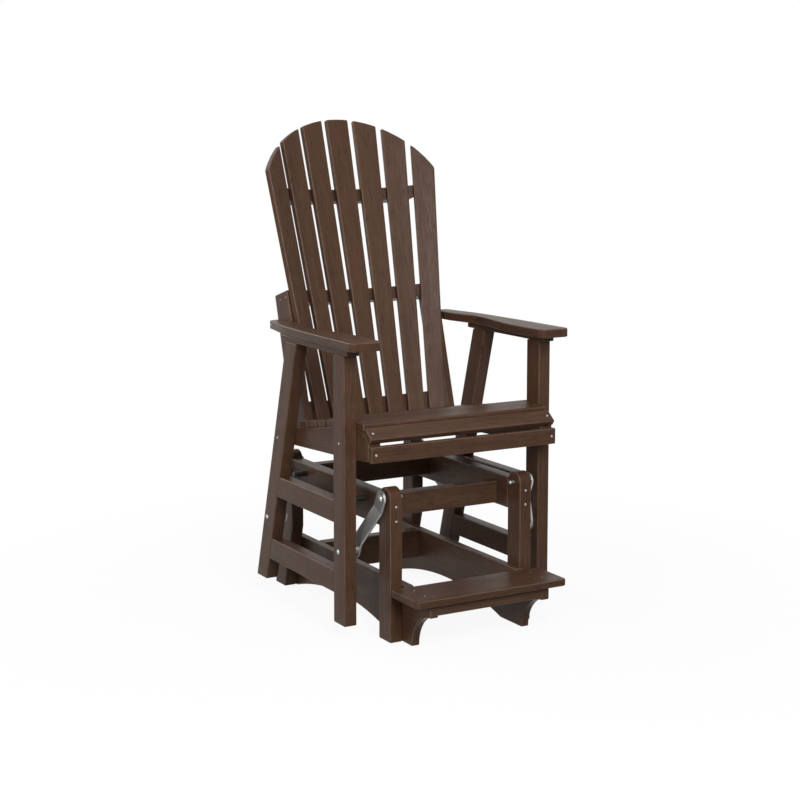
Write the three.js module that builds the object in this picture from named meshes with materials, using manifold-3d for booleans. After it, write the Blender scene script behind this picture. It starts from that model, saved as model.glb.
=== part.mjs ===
// Counter-height glider chair: a fan-back seat that hangs on four joggled steel links
// inside a standing base with a footrest. Millimetres, +Z up, the sitter faces -Y,
// and left means -X. Y counts from the front faces of the base's front posts.
import * as THREE from 'three';
import { mergeVertices } from 'three/addons/utils/BufferGeometryUtils.js';
import Module from 'manifold-3d';

const wasm = await Module();
wasm.setup();

// Board stock and fits
const thickBoard = 38.1;
const midBoard = 25.4;
const thinBoard = 19;
const edgeCorner = 4;
const edgeBevel = 3;
const seam = 0.3;
const cutOverrun = 6;

// Base posts
const baseHalfWidth = 228.6;
const postDepth = 63.5;
const postHeight = 436.9;
const postSpacing = 598.2;
const postBendHeight = 195.6;
const rearPostRake = 15.5;

// Base rails, as bottom and top heights, and the set-back of the cross rails from the posts
const sideRailBottom = 315;
const sideRailTop = 403.9;
const frontCrossBottom = 320;
const frontCrossTop = 383.5;
const rearCrossBottom = 332.7;
const rearCrossTop = 402.6;
const frontCrossSetback = 53.3;
const rearCrossSetback = 64.8;
const stopPegRadius = 8;
const stopPegLength = 38.1;
const stopPegDrop = 28;
const frontPegInset = 78.7;
const rearPegInset = 87.7;

// Lower side boards that reach forward under the footrest
const skidTop = 158.8;
const skidStep = 17.8;
const skidNibFront = 147.3;
const archInset = 58.4;
const archSpan = 589.3;
const archRise = 44.45;
const footFront = 49.5;
const coveRadius = 101.6;
const lowCrossBottom = 72.4;
const lowCrossSetback = 49.6;

// Footrest
const footrestHalfWidth = 238.8;
const footrestFront = 162.6;
const footrestThickness = 19.8;
const footrestTop = 156.2;
const footrestCorner = 14;
const footrestRailBottom = 105.9;
const footrestRailInset = 1.3;

// Swing links
const linkLength = 166.1;
const linkWidth = 44.45;
const linkThickness = 5.6;
const frontLean = 24.6;
const rearLean = 28;
const joggleStart = 35;
const joggleEnd = 135;
const pivotHeight = 396.2;
const openPivotPlay = 7.2;

// Pivot bolts
const boltRadius = 4.76;
const boltPlay = 0.55;
const upperSpacer = 7.6;
const lowerSpacer = 13.1;
const spacerRadius = 8;
const washerRadius = 15;
const washerThickness = 2;
const nutRadius = 9;
const nutHeight = 8;
const boltTail = 12;
const capRadius = 6;
const capLength = 16;
const headRadius = 9.5;
const headHeight = 5;
const legHeadRadius = 6.5;
const legHeadHeight = 3;

// Seat frame legs and rails
const frameOuter = 334;
const legWidth = 63.5;
const legTop = 786.1;
const frontLegBottom = 43.4;
const frontLegInset = 35.4;
const rearLegBottom = 59.7;
const rearLegRake = 15.9;
const rearLegFootFront = 560.1;
const midRailBottom = 321.3;
const midRailTop = 383.5;
const lowRailBottom = 125.7;
const lowRailTop = 189.2;

// Arms and their cleats
const cleatHeight = 17.8;
const cleatFront = 47.5;
const cleatBack = 449.6;
const armThickness = 24.6;
const armFront = -8.9;
const armLength = 603.3;
const armInner = 250.2;
const armWidth = 99.1;
const armCorner = 14;

// Seat side rails and slats
const sideRailFront = -1.3;
const sideRailBack = 505;
const seatRearHeight = 535.5;
const seatRearSlope = 8.6;
const seatSlopeStep = 1;
const seatFrontFall = 3.1;
const seatBackEdge = 413.5;
const seatPitch = 55.9;
const slatGap = 7.6;
const slatCount = 5;
const frontSlatDepth = 103;
const frontSlatThickness = 22.2;
const frontSlatCorner = 8;
const noseRun = 33;
const noseRise = 25.4;
const noseSlatWidth = 44;
const noseSlatOverhang = 4.4;
const apronTop = 549.5;
const apronHeight = 45;
const railFrontBottom = 506.2;
const railBelly = 492.8;
const railBackBottom = 474.4;

// Back
const backLean = 16.25;
const backBottomY = 475;
const backBottomZ = 514.8;
const backRadius = 643;
const backHeight = 937.5;
const archRadius = 317.8;
const fanCount = 7;
const fanThickness = 17.5;
const fanBottomWidth = 49.6;
const fanTopWidth = 73.6;
const fanBottomSpacing = 64.6;
const fanTopSpacing = 90.9;
const fanSideSteps = 4;
const fanTopSteps = 6;
const upperBattenBottom = 683;
const upperBattenHalf = 226;
const upperBattenDepth = 36;
const midBackRailBottom = 373;
const lowerBattenBottom = 15.5;
const lowerBattenHeight = 63.5;

// Back stiles
const stileInner = 232.4;
const stileWidth = 84;
const stileTop = 411.1;
const stileFootHeight = 482.6;

// Smoothness
const arcSteps = 10;
const cornerSteps = 2;
const roundSides = 16;
const hexSides = 6;
const gentleTurn = 20;

// Colours
const lumberColour = 0x4b3d33;
const steelColour = 0xb9b9b6;

const radians = (degrees) => THREE.MathUtils.degToRad(degrees);

const point = (a, b) => new THREE.Vector2(a, b);

// Derived places
const baseInner = baseHalfWidth - thickBoard;
const frameInner = frameOuter - thickBoard;
const skidInner = baseInner - midBoard;
const boltHoleRadius = boltRadius + boltPlay;
const upperLinkX = baseHalfWidth + upperSpacer + linkThickness / 2;
const lowerLinkX = frameInner - lowerSpacer - linkThickness / 2;
const frontPivot = new THREE.Vector2(postDepth / 2, pivotHeight);
const rearPivot = new THREE.Vector2(postSpacing + postDepth / 2, pivotHeight);
const frontLowPivot = swungFrom(frontPivot, frontLean);
const rearLowPivot = swungFrom(rearPivot, -rearLean);
const frontLegFront = frontLowPivot.x - frontLegInset;
const frontLegBack = frontLegFront + legWidth;
const archRadiusBelow = (archSpan / 2) ** 2 / (2 * archRise) + archRise / 2;
const footrestBottom = footrestTop - footrestThickness;
const cleatTop = legTop + cleatHeight;
const stileOuter = stileInner + midBoard;

const lumber = () => new THREE.MeshStandardMaterial({
  color: lumberColour,
  roughness: 0.62,
  metalness: 0,
  flatShading: true,
});

const steel = () => new THREE.MeshStandardMaterial({
  color: steelColour,
  roughness: 0.35,
  metalness: 1,
  flatShading: true,
});

function swungFrom(pivot, lean) {
  const across = linkLength * Math.sin(radians(lean));
  const down = linkLength * Math.cos(radians(lean));
  return new THREE.Vector2(pivot.x + across, pivot.y - down);
}

// Points along a round arc, with angles in degrees
function arc(centre, radius, from, to, steps = arcSteps) {
  return Array.from({ length: steps + 1 }, (_, index) => {
    const angle = radians(from + ((to - from) * index) / steps);
    return point(centre.x + radius * Math.cos(angle), centre.y + radius * Math.sin(angle));
  });
}

// An outline whose sharp corners are rounded; gentle bends stay as they are
function easedShape(points, radius) {
  const shape = new THREE.Shape();
  const corners = points.map((corner, index) => {
    const back = points.at(index - 1).clone().sub(corner);
    const on = points[(index + 1) % points.length].clone().sub(corner);
    const turn = Math.PI - back.angleTo(on);
    const room = Math.min(back.length(), on.length()) / 2;
    const reach = turn < radians(gentleTurn) ? 0 : Math.min(radius * Math.tan(turn / 2), room);
    return { corner, enter: back.setLength(reach).add(corner), leave: on.setLength(reach).add(corner), reach };
  });
  shape.moveTo(corners[0].leave.x, corners[0].leave.y);
  [...corners.slice(1), corners[0]].forEach(({ corner, enter, leave, reach }) => {
    shape.lineTo(enter.x, enter.y);
    if (reach > 0) shape.quadraticCurveTo(corner.x, corner.y, leave.x, leave.y);
  });
  return shape;
}

const bases = {
  x: [new THREE.Vector3(0, 1, 0), new THREE.Vector3(0, 0, 1), new THREE.Vector3(1, 0, 0)],
  y: [new THREE.Vector3(0, 0, 1), new THREE.Vector3(1, 0, 0), new THREE.Vector3(0, 1, 0)],
  z: [new THREE.Vector3(1, 0, 0), new THREE.Vector3(0, 1, 0), new THREE.Vector3(0, 0, 1)],
};

// Merged positions only, so that the same geometry can be cut, mirrored or shown
function welded(geometry) {
  geometry.deleteAttribute('normal');
  geometry.deleteAttribute('uv');
  return mergeVertices(geometry);
}

// A board: an outline pushed along one axis. Outlines are (y, z), (x, z) or (x, y).
function board(points, axis, from, to, { corner = edgeCorner, bevel = edgeBevel } = {}) {
  const outline = axis === 'y' ? points.map(({ x, y }) => point(y, x)) : points;
  const geometry = new THREE.ExtrudeGeometry(easedShape(outline, corner), {
    depth: to - from - 2 * bevel,
    bevelEnabled: bevel > 0,
    bevelSize: bevel,
    bevelOffset: -bevel,
    bevelThickness: bevel,
    bevelSegments: cornerSteps,
    curveSegments: cornerSteps,
  });
  geometry.translate(0, 0, from + bevel);
  geometry.applyMatrix4(new THREE.Matrix4().makeBasis(...bases[axis]));
  return welded(geometry);
}

const rectangle = (a0, a1, b0, b1) => [point(a0, b0), point(a1, b0), point(a1, b1), point(a0, b1)];

function rod(radius, from, to, { y, z }, sides = roundSides) {
  const geometry = new THREE.CylinderGeometry(radius, radius, to - from, sides);
  geometry.rotateZ(-Math.PI / 2);
  geometry.translate((from + to) / 2, y, z);
  return welded(geometry);
}

function solid(geometry) {
  const vertProperties = new Float32Array(geometry.attributes.position.array);
  const triVerts = new Uint32Array(geometry.index.array);
  return new wasm.Manifold(new wasm.Mesh({ numProp: 3, vertProperties, triVerts }));
}

function shown(body) {
  const mesh = body.getMesh();
  const geometry = new THREE.BufferGeometry();
  geometry.setAttribute('position', new THREE.BufferAttribute(new Float32Array(mesh.vertProperties), 3));
  geometry.setIndex(new THREE.BufferAttribute(new Uint32Array(mesh.triVerts), 1));
  return geometry;
}

const cut = (geometry, ...tools) => shown(tools.reduce((body, tool) => body.subtract(solid(tool)), solid(geometry)));
const joined = (geometry, ...more) => shown(more.reduce((body, tool) => body.add(solid(tool)), solid(geometry)));
const common = (one, other) => shown(solid(one).intersect(solid(other)));

function mirrored(geometry) {
  const copy = geometry.clone();
  copy.scale(-1, 1, 1);
  const order = copy.index.array;
  for (let first = 0; first < order.length; first += 3) {
    [order[first + 1], order[first + 2]] = [order[first + 2], order[first + 1]];
  }
  return copy;
}

function addNode(parent, name, geometry, material) {
  const mesh = new THREE.Mesh(geometry, material());
  mesh.name = name;
  parent.add(mesh);
}

function addPair(parent, name, geometry, material) {
  addNode(parent, `${name}_right`, geometry, material);
  addNode(parent, `${name}_left`, mirrored(geometry), material);
}

// Base posts: round-topped across, and the rear ones raked back below their bend
function postHole(pivot) {
  return rod(boltHoleRadius, baseInner - cutOverrun, baseHalfWidth + cutOverrun, { y: pivot.x, z: pivot.y });
}

function post(sideOutline, pivot) {
  const crown = thickBoard / 2;
  const crownCentre = point(baseInner + crown, postHeight - crown);
  const ends = sideOutline.map(({ x }) => x);
  const front = [point(baseInner, 0), point(baseHalfWidth, 0), ...arc(crownCentre, crown, 0, 180)];
  const from = Math.min(...ends) - cutOverrun;
  const to = Math.max(...ends) + cutOverrun;
  const side = board(sideOutline, 'x', baseInner, baseHalfWidth);
  const round = board(front, 'y', from, to, { corner: 0, bevel: 0 });
  return cut(common(side, round), postHole(pivot));
}

const frontPostOutline = () => rectangle(0, postDepth, 0, postHeight);

function rearPostOutline() {
  const rake = radians(rearPostRake);
  const shift = postBendHeight * Math.tan(rake);
  const back = postSpacing + postDepth;
  const lowDepth = postDepth / Math.cos(rake);
  const backBend = postBendHeight + postDepth * Math.tan(rake / 2);
  return [
    point(postSpacing + shift, 0),
    point(postSpacing + shift + lowDepth, 0),
    point(back, backBend),
    point(back, postHeight),
    point(postSpacing, postHeight),
    point(postSpacing, postBendHeight),
  ];
}

function stopPeg(y) {
  const z = sideRailTop - stopPegDrop;
  return rod(stopPegRadius, baseHalfWidth - cutOverrun, baseHalfWidth + stopPegLength, { y, z });
}

function topSideRail() {
  const outline = rectangle(postDepth + seam, postSpacing - seam, sideRailBottom, sideRailTop);
  const rail = board(outline, 'x', baseInner, baseHalfWidth);
  return joined(rail, stopPeg(postDepth + frontPegInset), stopPeg(postSpacing - rearPegInset));
}

function crossRail(front, thickness, bottom, top, half) {
  return board(rectangle(front, front + thickness, bottom, top), 'x', seam - half, half - seam);
}

// A low side board: an arched foot, a cove under the footrest, and a step up behind the plank
function skid() {
  const backAngle = radians(rearPostRake);
  const back = postSpacing + postDepth;
  const backFoot = back + (postBendHeight + postDepth * Math.tan(backAngle / 2)) * Math.tan(backAngle);
  const archCentre = point(archInset + archSpan / 2, archRise - archRadiusBelow);
  const archHalfAngle = THREE.MathUtils.radToDeg(Math.asin(archSpan / 2 / archRadiusBelow));
  const coveCentre = point(-footFront - coveRadius, 0);
  const coveEnd = THREE.MathUtils.radToDeg(Math.acos((coveRadius + footFront - skidNibFront) / coveRadius));
  const outline = [
    ...arc(archCentre, archRadiusBelow, 90 + archHalfAngle, 90 - archHalfAngle),
    point(backFoot - seam, 0),
    point(backFoot - seam - skidTop * Math.tan(backAngle), skidTop),
    point(-skidStep, skidTop),
    point(-skidStep, footrestBottom - seam),
    point(-skidNibFront, footrestBottom - seam),
    ...arc(coveCentre, coveRadius, coveEnd, 0),
  ];
  return board(outline, 'x', skidInner, baseInner - seam);
}

function footrestPlank() {
  const plan = rectangle(-footrestHalfWidth, footrestHalfWidth, -footrestFront, -skidStep - seam);
  return board(plan, 'z', footrestBottom, footrestTop, { corner: footrestCorner });
}

function footrestRail() {
  const front = -skidNibFront + footrestRailInset;
  return crossRail(front, midBoard, footrestRailBottom, footrestBottom - seam, skidInner);
}

// A flat bar stepped outwards between its two parallel tabs, with full-round ends
function link(lowerEyeRadius) {
  const half = linkThickness / 2;
  const step = lowerLinkX - upperLinkX;
  const bend = Math.atan(step / (joggleEnd - joggleStart));
  const mitre = half * Math.tan(bend / 2);
  const end = linkWidth / 2;
  const strip = [
    point(upperLinkX + half, end),
    point(upperLinkX - half, end),
    point(upperLinkX - half, -joggleStart - mitre),
    point(lowerLinkX - half, -joggleEnd - mitre),
    point(lowerLinkX - half, -linkLength - end),
    point(lowerLinkX + half, -linkLength - end),
    point(lowerLinkX + half, -joggleEnd + mitre),
    point(upperLinkX + half, -joggleStart + mitre),
  ];
  const face = [...arc(point(0, 0), end, 0, 180), ...arc(point(0, -linkLength), end, 180, 360)];
  const bar = board(strip, 'y', -end - cutOverrun, end + cutOverrun, { corner: 0, bevel: 0 });
  const plate = board(face, 'x', upperLinkX - linkWidth, lowerLinkX + linkWidth, { corner: 0, bevel: 0 });
  const eye = (radius, z) => rod(radius, upperLinkX - linkWidth, lowerLinkX + linkWidth, { y: 0, z });
  return cut(common(bar, plate), eye(boltHoleRadius, 0), eye(lowerEyeRadius, -linkLength));
}

function placedLink(pivot, lean, lowerEyeRadius) {
  const geometry = link(lowerEyeRadius);
  geometry.rotateX(radians(lean));
  geometry.translate(0, pivot.x, pivot.y);
  return geometry;
}

// A low dome that closes on the axis, as on a carriage bolt
function domeHead(x, radius, height, { y, z }) {
  const profile = [point(0, 0), ...arc(point(0, 0), 1, 0, 90, cornerSteps * 2)];
  const geometry = new THREE.LatheGeometry(profile, roundSides);
  geometry.scale(radius, height, radius);
  geometry.rotateZ(-Math.PI / 2);
  geometry.translate(x, y, z);
  return welded(geometry);
}

// A bolt through a base post: round cap nut inside, spacer and domed head outside
function upperBolt(pivot) {
  const at = { y: pivot.x, z: pivot.y };
  const cap = baseInner - seam - capLength;
  const linkInner = upperLinkX - linkThickness / 2;
  const linkOuter = upperLinkX + linkThickness / 2 + seam;
  return joined(
    rod(boltRadius, cap + capLength / 2, linkOuter + headHeight / 2, at),
    rod(capRadius, cap, baseInner - seam, at),
    rod(spacerRadius, baseHalfWidth + seam, linkInner - seam, at),
    domeHead(linkOuter, headRadius, headHeight, at),
  );
}

// A bolt through a leg: tail, nut and washer inside the link, a spacer behind the leg, a small domed head
function lowerBolt(pivot) {
  const at = { y: pivot.x, z: pivot.y };
  const linkInner = lowerLinkX - linkThickness / 2;
  const linkOuter = lowerLinkX + linkThickness / 2;
  const washer = linkInner - seam - washerThickness;
  const nut = washer - nutHeight;
  return joined(
    rod(boltRadius, nut - boltTail / 2, frameOuter + legHeadHeight / 2, at),
    rod(nutRadius, nut, washer + seam, at, hexSides),
    rod(washerRadius, washer, linkInner - seam, at),
    rod(washerRadius, linkOuter + seam, frameInner - seam, at),
    domeHead(frameOuter + seam, legHeadRadius, legHeadHeight, at),
  );
}

// Seat frame: front legs upright, rear legs raked, two rails a side
const rearLegFrontAt = (z) => rearLegFootFront - (z - rearLegBottom) * Math.tan(radians(rearLegRake));

const legHole = (pivot) => rod(
  boltHoleRadius,
  frameInner - cutOverrun,
  frameOuter + cutOverrun,
  { y: pivot.x, z: pivot.y },
);

function frontLeg() {
  const outline = rectangle(frontLegFront, frontLegBack, frontLegBottom, legTop - seam);
  return cut(board(outline, 'x', frameInner, frameOuter), legHole(frontLowPivot));
}

function rearLeg() {
  const depth = legWidth / Math.cos(radians(rearLegRake));
  const top = legTop - seam;
  const outline = [
    point(rearLegFrontAt(rearLegBottom), rearLegBottom),
    point(rearLegFrontAt(rearLegBottom) + depth, rearLegBottom),
    point(rearLegFrontAt(top) + depth, top),
    point(rearLegFrontAt(top), top),
  ];
  return cut(board(outline, 'x', frameInner, frameOuter), legHole(rearLowPivot));
}

function legRail(bottom, top) {
  const front = frontLegBack + seam;
  const outline = [
    point(front, bottom),
    point(rearLegFrontAt(bottom) - seam, bottom),
    point(rearLegFrontAt(top) - seam, top),
    point(front, top),
  ];
  return board(outline, 'x', frameInner, frameOuter);
}

const cleat = () => board(
  rectangle(cleatFront, cleatBack, legTop, cleatTop - seam),
  'x',
  frameInner,
  frameOuter,
);

// Arm plan from above, as shares of its width and length: out along the front and the
// outer edge, and back along the inner edge. The stretch between lies along the stile.
const armFrontShares = [[0.115, 0], [0.91, 0]];
const armOuterShares = [[1, 0.023], [0.96, 0.35], [0.87, 0.66], [0.84, 0.735], [0.765, 0.81], [0.62, 0.93]];
const armHeelShares = [0.576, 0.979];
const armInnerShares = [[0.2, 0.735], [0.345, 0.655], [0.3, 0.56], [0.19, 0.46], [0.09, 0.37], [0, 0.25]];
const armCollarShares = [0.025, 0.032];
const armStileShare = 0.84;

function arm() {
  const at = ([across, along]) => point(armInner + armWidth * across, armFront + armLength * along);
  const alongStile = stileOuter + seam;
  const outline = [
    ...armFrontShares.map(at),
    ...armOuterShares.map(at),
    at(armHeelShares),
    point(alongStile, armFront + armLength),
    point(alongStile, armFront + armLength * armStileShare),
    ...armInnerShares.map(at),
    at(armCollarShares),
  ];
  return board(outline, 'z', cleatTop, cleatTop + armThickness, { corner: armCorner });
}

// The seat's top line up to the front slat: one straight stretch for each slat, steeper towards the front
function seatLine() {
  const stations = [point(seatBackEdge, seatRearHeight)];
  for (let index = 0; index < slatCount; index += 1) {
    const last = stations.at(-1);
    const slope = radians(seatRearSlope + index * seatSlopeStep);
    stations.push(point(last.x - seatPitch, last.y + seatPitch * Math.tan(slope)));
  }
  return stations;
}

// The front stretch falls forward, and a chamfer runs down from its end to the nose's foot
function seatFrontTop() {
  const last = seatLine().at(-1);
  const run = last.x - (sideRailFront + noseRun);
  return point(sideRailFront + noseRun, last.y - run * Math.tan(radians(seatFrontFall)));
}

const noseFoot = () => point(sideRailFront, seatFrontTop().y - noseRise);

function seatSideRail() {
  const middle = (sideRailFront + sideRailBack) / 2;
  const backRise = (sideRailBack - seatBackEdge) * Math.tan(radians(seatRearSlope));
  const outline = [
    point(sideRailFront, railFrontBottom),
    point((sideRailFront + middle) / 2, (railFrontBottom + railBelly) / 2 - edgeCorner),
    point(middle, railBelly - edgeCorner),
    point(sideRailBack, railBackBottom),
    point(sideRailBack, seatRearHeight - backRise),
    ...seatLine(),
    seatFrontTop(),
    noseFoot(),
  ];
  return board(outline, 'x', stileOuter + seam, frameInner - seam);
}

// A slat across the seat, laid on the stretch of the side rails between two points
function crossSlat(back, front, width, thickness, corner = edgeCorner) {
  const along = front.clone().sub(back).normalize();
  const up = point(along.y, -along.x);
  const middle = back.clone().add(front).multiplyScalar(1 / 2);
  const place = (run, rise) => middle.clone().addScaledVector(along, run).addScaledVector(up, rise);
  const outline = [
    place(-width / 2, seam),
    place(width / 2, seam),
    place(width / 2, seam + thickness),
    place(-width / 2, seam + thickness),
  ];
  return board(outline, 'x', seam - frameInner, frameInner - seam, { corner });
}

function frontSlat() {
  const back = seatLine().at(-1);
  const along = seatFrontTop().sub(back).normalize();
  const start = back.clone().addScaledVector(along, slatGap / 2);
  const end = start.clone().addScaledVector(along, frontSlatDepth);
  return crossSlat(start, end, frontSlatDepth, frontSlatThickness, frontSlatCorner);
}

function noseSlat() {
  const along = noseFoot().sub(seatFrontTop()).normalize();
  const end = noseFoot().addScaledVector(along, noseSlatOverhang);
  const start = end.clone().addScaledVector(along, -noseSlatWidth);
  return crossSlat(start, end, noseSlatWidth, thinBoard);
}

const apron = () => board(
  rectangle(sideRailFront - seam - thinBoard, sideRailFront - seam, apronTop - apronHeight, apronTop),
  'x',
  seam - frameInner,
  frameInner - seam,
);

// Back: fan slats on a hollow, round contour, in the leaned frame of the back
const fanShare = (v) => v / backHeight;
const fanCentre = (place, v) => place * THREE.MathUtils.lerp(fanBottomSpacing, fanTopSpacing, fanShare(v));
const fanHalf = (v) => THREE.MathUtils.lerp(fanBottomWidth, fanTopWidth, fanShare(v)) / 2;

function crownHeight(u) {
  const across = backRadius * Math.sin(u / backRadius);
  return backHeight - archRadius + Math.sqrt(archRadius ** 2 - across ** 2);
}

// Where a slat's line at this share of its half width meets the arched top
function crownPoint(place, share) {
  let v = backHeight;
  for (let round = 0; round < arcSteps; round += 1) {
    v = crownHeight(fanCentre(place, v) + share * fanHalf(v));
  }
  return point(fanCentre(place, v) + share * fanHalf(v), v);
}

function fanSlat(place) {
  const edge = (side) => {
    const top = crownPoint(place, side).y;
    return Array.from({ length: fanSideSteps }, (_, index) => {
      const v = (top * index) / fanSideSteps;
      return point(fanCentre(place, v) + side * fanHalf(v), v);
    });
  };
  const crown = Array.from({ length: fanTopSteps + 1 }, (_, index) => crownPoint(place, 1 - (2 * index) / fanTopSteps));
  const outline = [...edge(1), ...crown, ...edge(-1).reverse()];
  return contoured(board(outline, 'z', -fanThickness, 0));
}

// Bends a flat board, drawn as across, up and forward, onto the round contour
function contoured(geometry) {
  const places = geometry.attributes.position;
  for (let index = 0; index < places.count; index += 1) {
    const angle = places.getX(index) / backRadius;
    const reach = backRadius - places.getZ(index);
    places.setXYZ(index, reach * Math.sin(angle), reach * Math.cos(angle) - backRadius, places.getY(index));
  }
  return geometry;
}

// A batten behind the slats: hollow front edge, whose facets clear the slats' backs, and straight back edge
function batten(half, back, bottom, thickness) {
  const slatBacks = backRadius + fanThickness + seam;
  const halfStep = Math.asin(half / slatBacks) / arcSteps;
  const reach = slatBacks / Math.cos(halfStep);
  const swing = THREE.MathUtils.radToDeg(Math.asin(half / reach));
  const front = arc(point(0, -backRadius), reach, 90 + swing, 90 - swing);
  return board([...front, point(half, back), point(-half, back)], 'z', bottom, bottom + thickness);
}

// The stiles' front edges meet the backs of the outer slats
const stileFront = Math.sqrt((backRadius + fanThickness) ** 2 - stileInner ** 2) - backRadius + seam;
const stileBack = stileFront + stileWidth;

// Height in the leaned frame of the level cut at the stile's foot
function stileFoot(depth) {
  const lean = radians(backLean);
  return (stileFootHeight - backBottomZ + depth * Math.sin(lean)) / Math.cos(lean);
}

function stile() {
  const outline = [
    point(stileFront, stileFoot(stileFront)),
    point(stileBack, stileFoot(stileBack)),
    point(stileBack, stileTop),
    point(stileFront, stileTop),
  ];
  return board(outline, 'x', stileInner, stileOuter);
}

function addBase(parent) {
  addPair(parent, 'front_post', post(frontPostOutline(), frontPivot), lumber);
  addPair(parent, 'rear_post', post(rearPostOutline(), rearPivot), lumber);
  addPair(parent, 'top_side_rail', topSideRail(), lumber);
  const frontCross = postDepth + frontCrossSetback;
  const rearCross = postSpacing - rearCrossSetback - thickBoard;
  const lowCross = postSpacing - lowCrossSetback - thickBoard;
  const upper = (front, bottom, top) => crossRail(front, thickBoard, bottom, top, baseInner);
  addNode(parent, 'front_upper_cross_rail', upper(frontCross, frontCrossBottom, frontCrossTop), lumber);
  addNode(parent, 'rear_upper_cross_rail', upper(rearCross, rearCrossBottom, rearCrossTop), lumber);
  const low = crossRail(lowCross, thickBoard, lowCrossBottom, skidTop, skidInner);
  addNode(parent, 'rear_lower_cross_rail', low, lumber);
  addPair(parent, 'skid', skid(), lumber);
  addNode(parent, 'footrest_plank', footrestPlank(), lumber);
  addNode(parent, 'footrest_cross_rail', footrestRail(), lumber);
}

function addLinkage(parent) {
  addPair(parent, 'front_link', placedLink(frontPivot, frontLean, boltHoleRadius), steel);
  addPair(parent, 'rear_link', placedLink(rearPivot, -rearLean, boltHoleRadius + openPivotPlay), steel);
  addPair(parent, 'front_upper_bolt', upperBolt(frontPivot), steel);
  addPair(parent, 'rear_upper_bolt', upperBolt(rearPivot), steel);
  addPair(parent, 'front_lower_bolt', lowerBolt(frontLowPivot), steel);
  addPair(parent, 'rear_lower_bolt', lowerBolt(rearLowPivot), steel);
}

function addSeatFrame(parent) {
  addPair(parent, 'front_leg', frontLeg(), lumber);
  addPair(parent, 'rear_leg', rearLeg(), lumber);
  addPair(parent, 'middle_leg_rail', legRail(midRailBottom, midRailTop), lumber);
  addPair(parent, 'low_leg_rail', legRail(lowRailBottom, lowRailTop), lumber);
  addPair(parent, 'arm_cleat', cleat(), lumber);
  addPair(parent, 'arm', arm(), lumber);
  addPair(parent, 'seat_side_rail', seatSideRail(), lumber);
}

function addSeat(parent) {
  const stations = seatLine();
  for (let index = 0; index < slatCount; index += 1) {
    const slat = crossSlat(stations[index], stations[index + 1], seatPitch - slatGap, thinBoard);
    addNode(parent, `seat_slat_${index + 1}`, slat, lumber);
  }
  addNode(parent, 'front_seat_slat', frontSlat(), lumber);
  addNode(parent, 'nose_slat', noseSlat(), lumber);
  addNode(parent, 'seat_apron', apron(), lumber);
}

function addBack(parent) {
  const back = new THREE.Group();
  back.position.set(0, backBottomY, backBottomZ);
  back.rotation.x = -radians(backLean);
  parent.add(back);
  const middle = (fanCount - 1) / 2;
  for (let index = 0; index < fanCount; index += 1) {
    addNode(back, `back_slat_${index + 1}`, fanSlat(index - middle), lumber);
  }
  const between = stileInner - seam;
  const upperBack = fanThickness + upperBattenDepth;
  addNode(back, 'upper_back_batten', batten(upperBattenHalf, upperBack, upperBattenBottom, thickBoard), lumber);
  addNode(back, 'middle_back_rail', batten(between, stileBack, midBackRailBottom, thickBoard), lumber);
  const lowerBack = stileBack - midBoard;
  addNode(back, 'lower_back_batten', batten(between, lowerBack, lowerBattenBottom, lowerBattenHeight), lumber);
  addPair(back, 'back_stile', stile(), lumber);
}

const chair = new THREE.Group();
addBase(chair);
addLinkage(chair);
addSeatFrame(chair);
addSeat(chair);
addBack(chair);

// The origin moves to the middle of the chair's footprint, on the ground
const bounds = new THREE.Box3().setFromObject(chair);
chair.position.y = -(bounds.min.y + bounds.max.y) / 2;
chair.updateMatrixWorld(true);

export default chair;
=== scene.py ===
"""Looks of a counter-height glider chair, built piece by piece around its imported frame.

Metres, +Z up, the sitter faces -Y. Outlines are drawn with Y counted from the front faces
of the base's front posts, as in the frame's source, and moved into the frame by FRONT.
"""

import logging
import math
from dataclasses import dataclass
from enum import Enum

import bmesh
import bpy
from mathutils import Matrix, Vector


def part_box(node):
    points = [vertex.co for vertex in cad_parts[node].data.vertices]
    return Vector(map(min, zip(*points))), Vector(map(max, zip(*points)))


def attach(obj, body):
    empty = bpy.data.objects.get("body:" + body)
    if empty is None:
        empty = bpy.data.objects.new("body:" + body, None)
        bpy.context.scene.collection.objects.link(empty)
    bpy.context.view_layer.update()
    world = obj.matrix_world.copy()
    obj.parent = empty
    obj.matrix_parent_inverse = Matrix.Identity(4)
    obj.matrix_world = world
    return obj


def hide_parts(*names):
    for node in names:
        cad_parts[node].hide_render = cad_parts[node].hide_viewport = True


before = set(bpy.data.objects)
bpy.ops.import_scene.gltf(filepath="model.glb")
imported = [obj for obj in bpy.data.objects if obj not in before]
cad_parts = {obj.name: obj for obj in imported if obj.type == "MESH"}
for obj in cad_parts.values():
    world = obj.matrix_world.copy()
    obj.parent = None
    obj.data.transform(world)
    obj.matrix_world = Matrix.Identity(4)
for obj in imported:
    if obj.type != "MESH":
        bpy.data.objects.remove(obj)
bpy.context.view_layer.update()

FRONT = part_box("front_post_right")[0].y
SIDES = {"right": 1.0, "left": -1.0}
Point = tuple[float, float]
Point3 = tuple[float, float, float]
Span = tuple[float, float]
Colour = tuple[float, float, float, float]
FLOAT, INT, VECTOR = "NodeSocketFloat", "NodeSocketInt", "NodeSocketVector"
GEOMETRY, MATERIAL, OBJECT = "NodeSocketGeometry", "NodeSocketMaterial", "NodeSocketObject"
# A board's own place in the grain: how fast its number moves it, and how far, on the three axes
LOT_TURNS = (12.9, 78.2, 37.7)
LOT_REACH = (7.0, 3.0, 3.0)
# Points nearer than this are one point
WELD = 1e-6
log = logging.getLogger("glider_chair")


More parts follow.
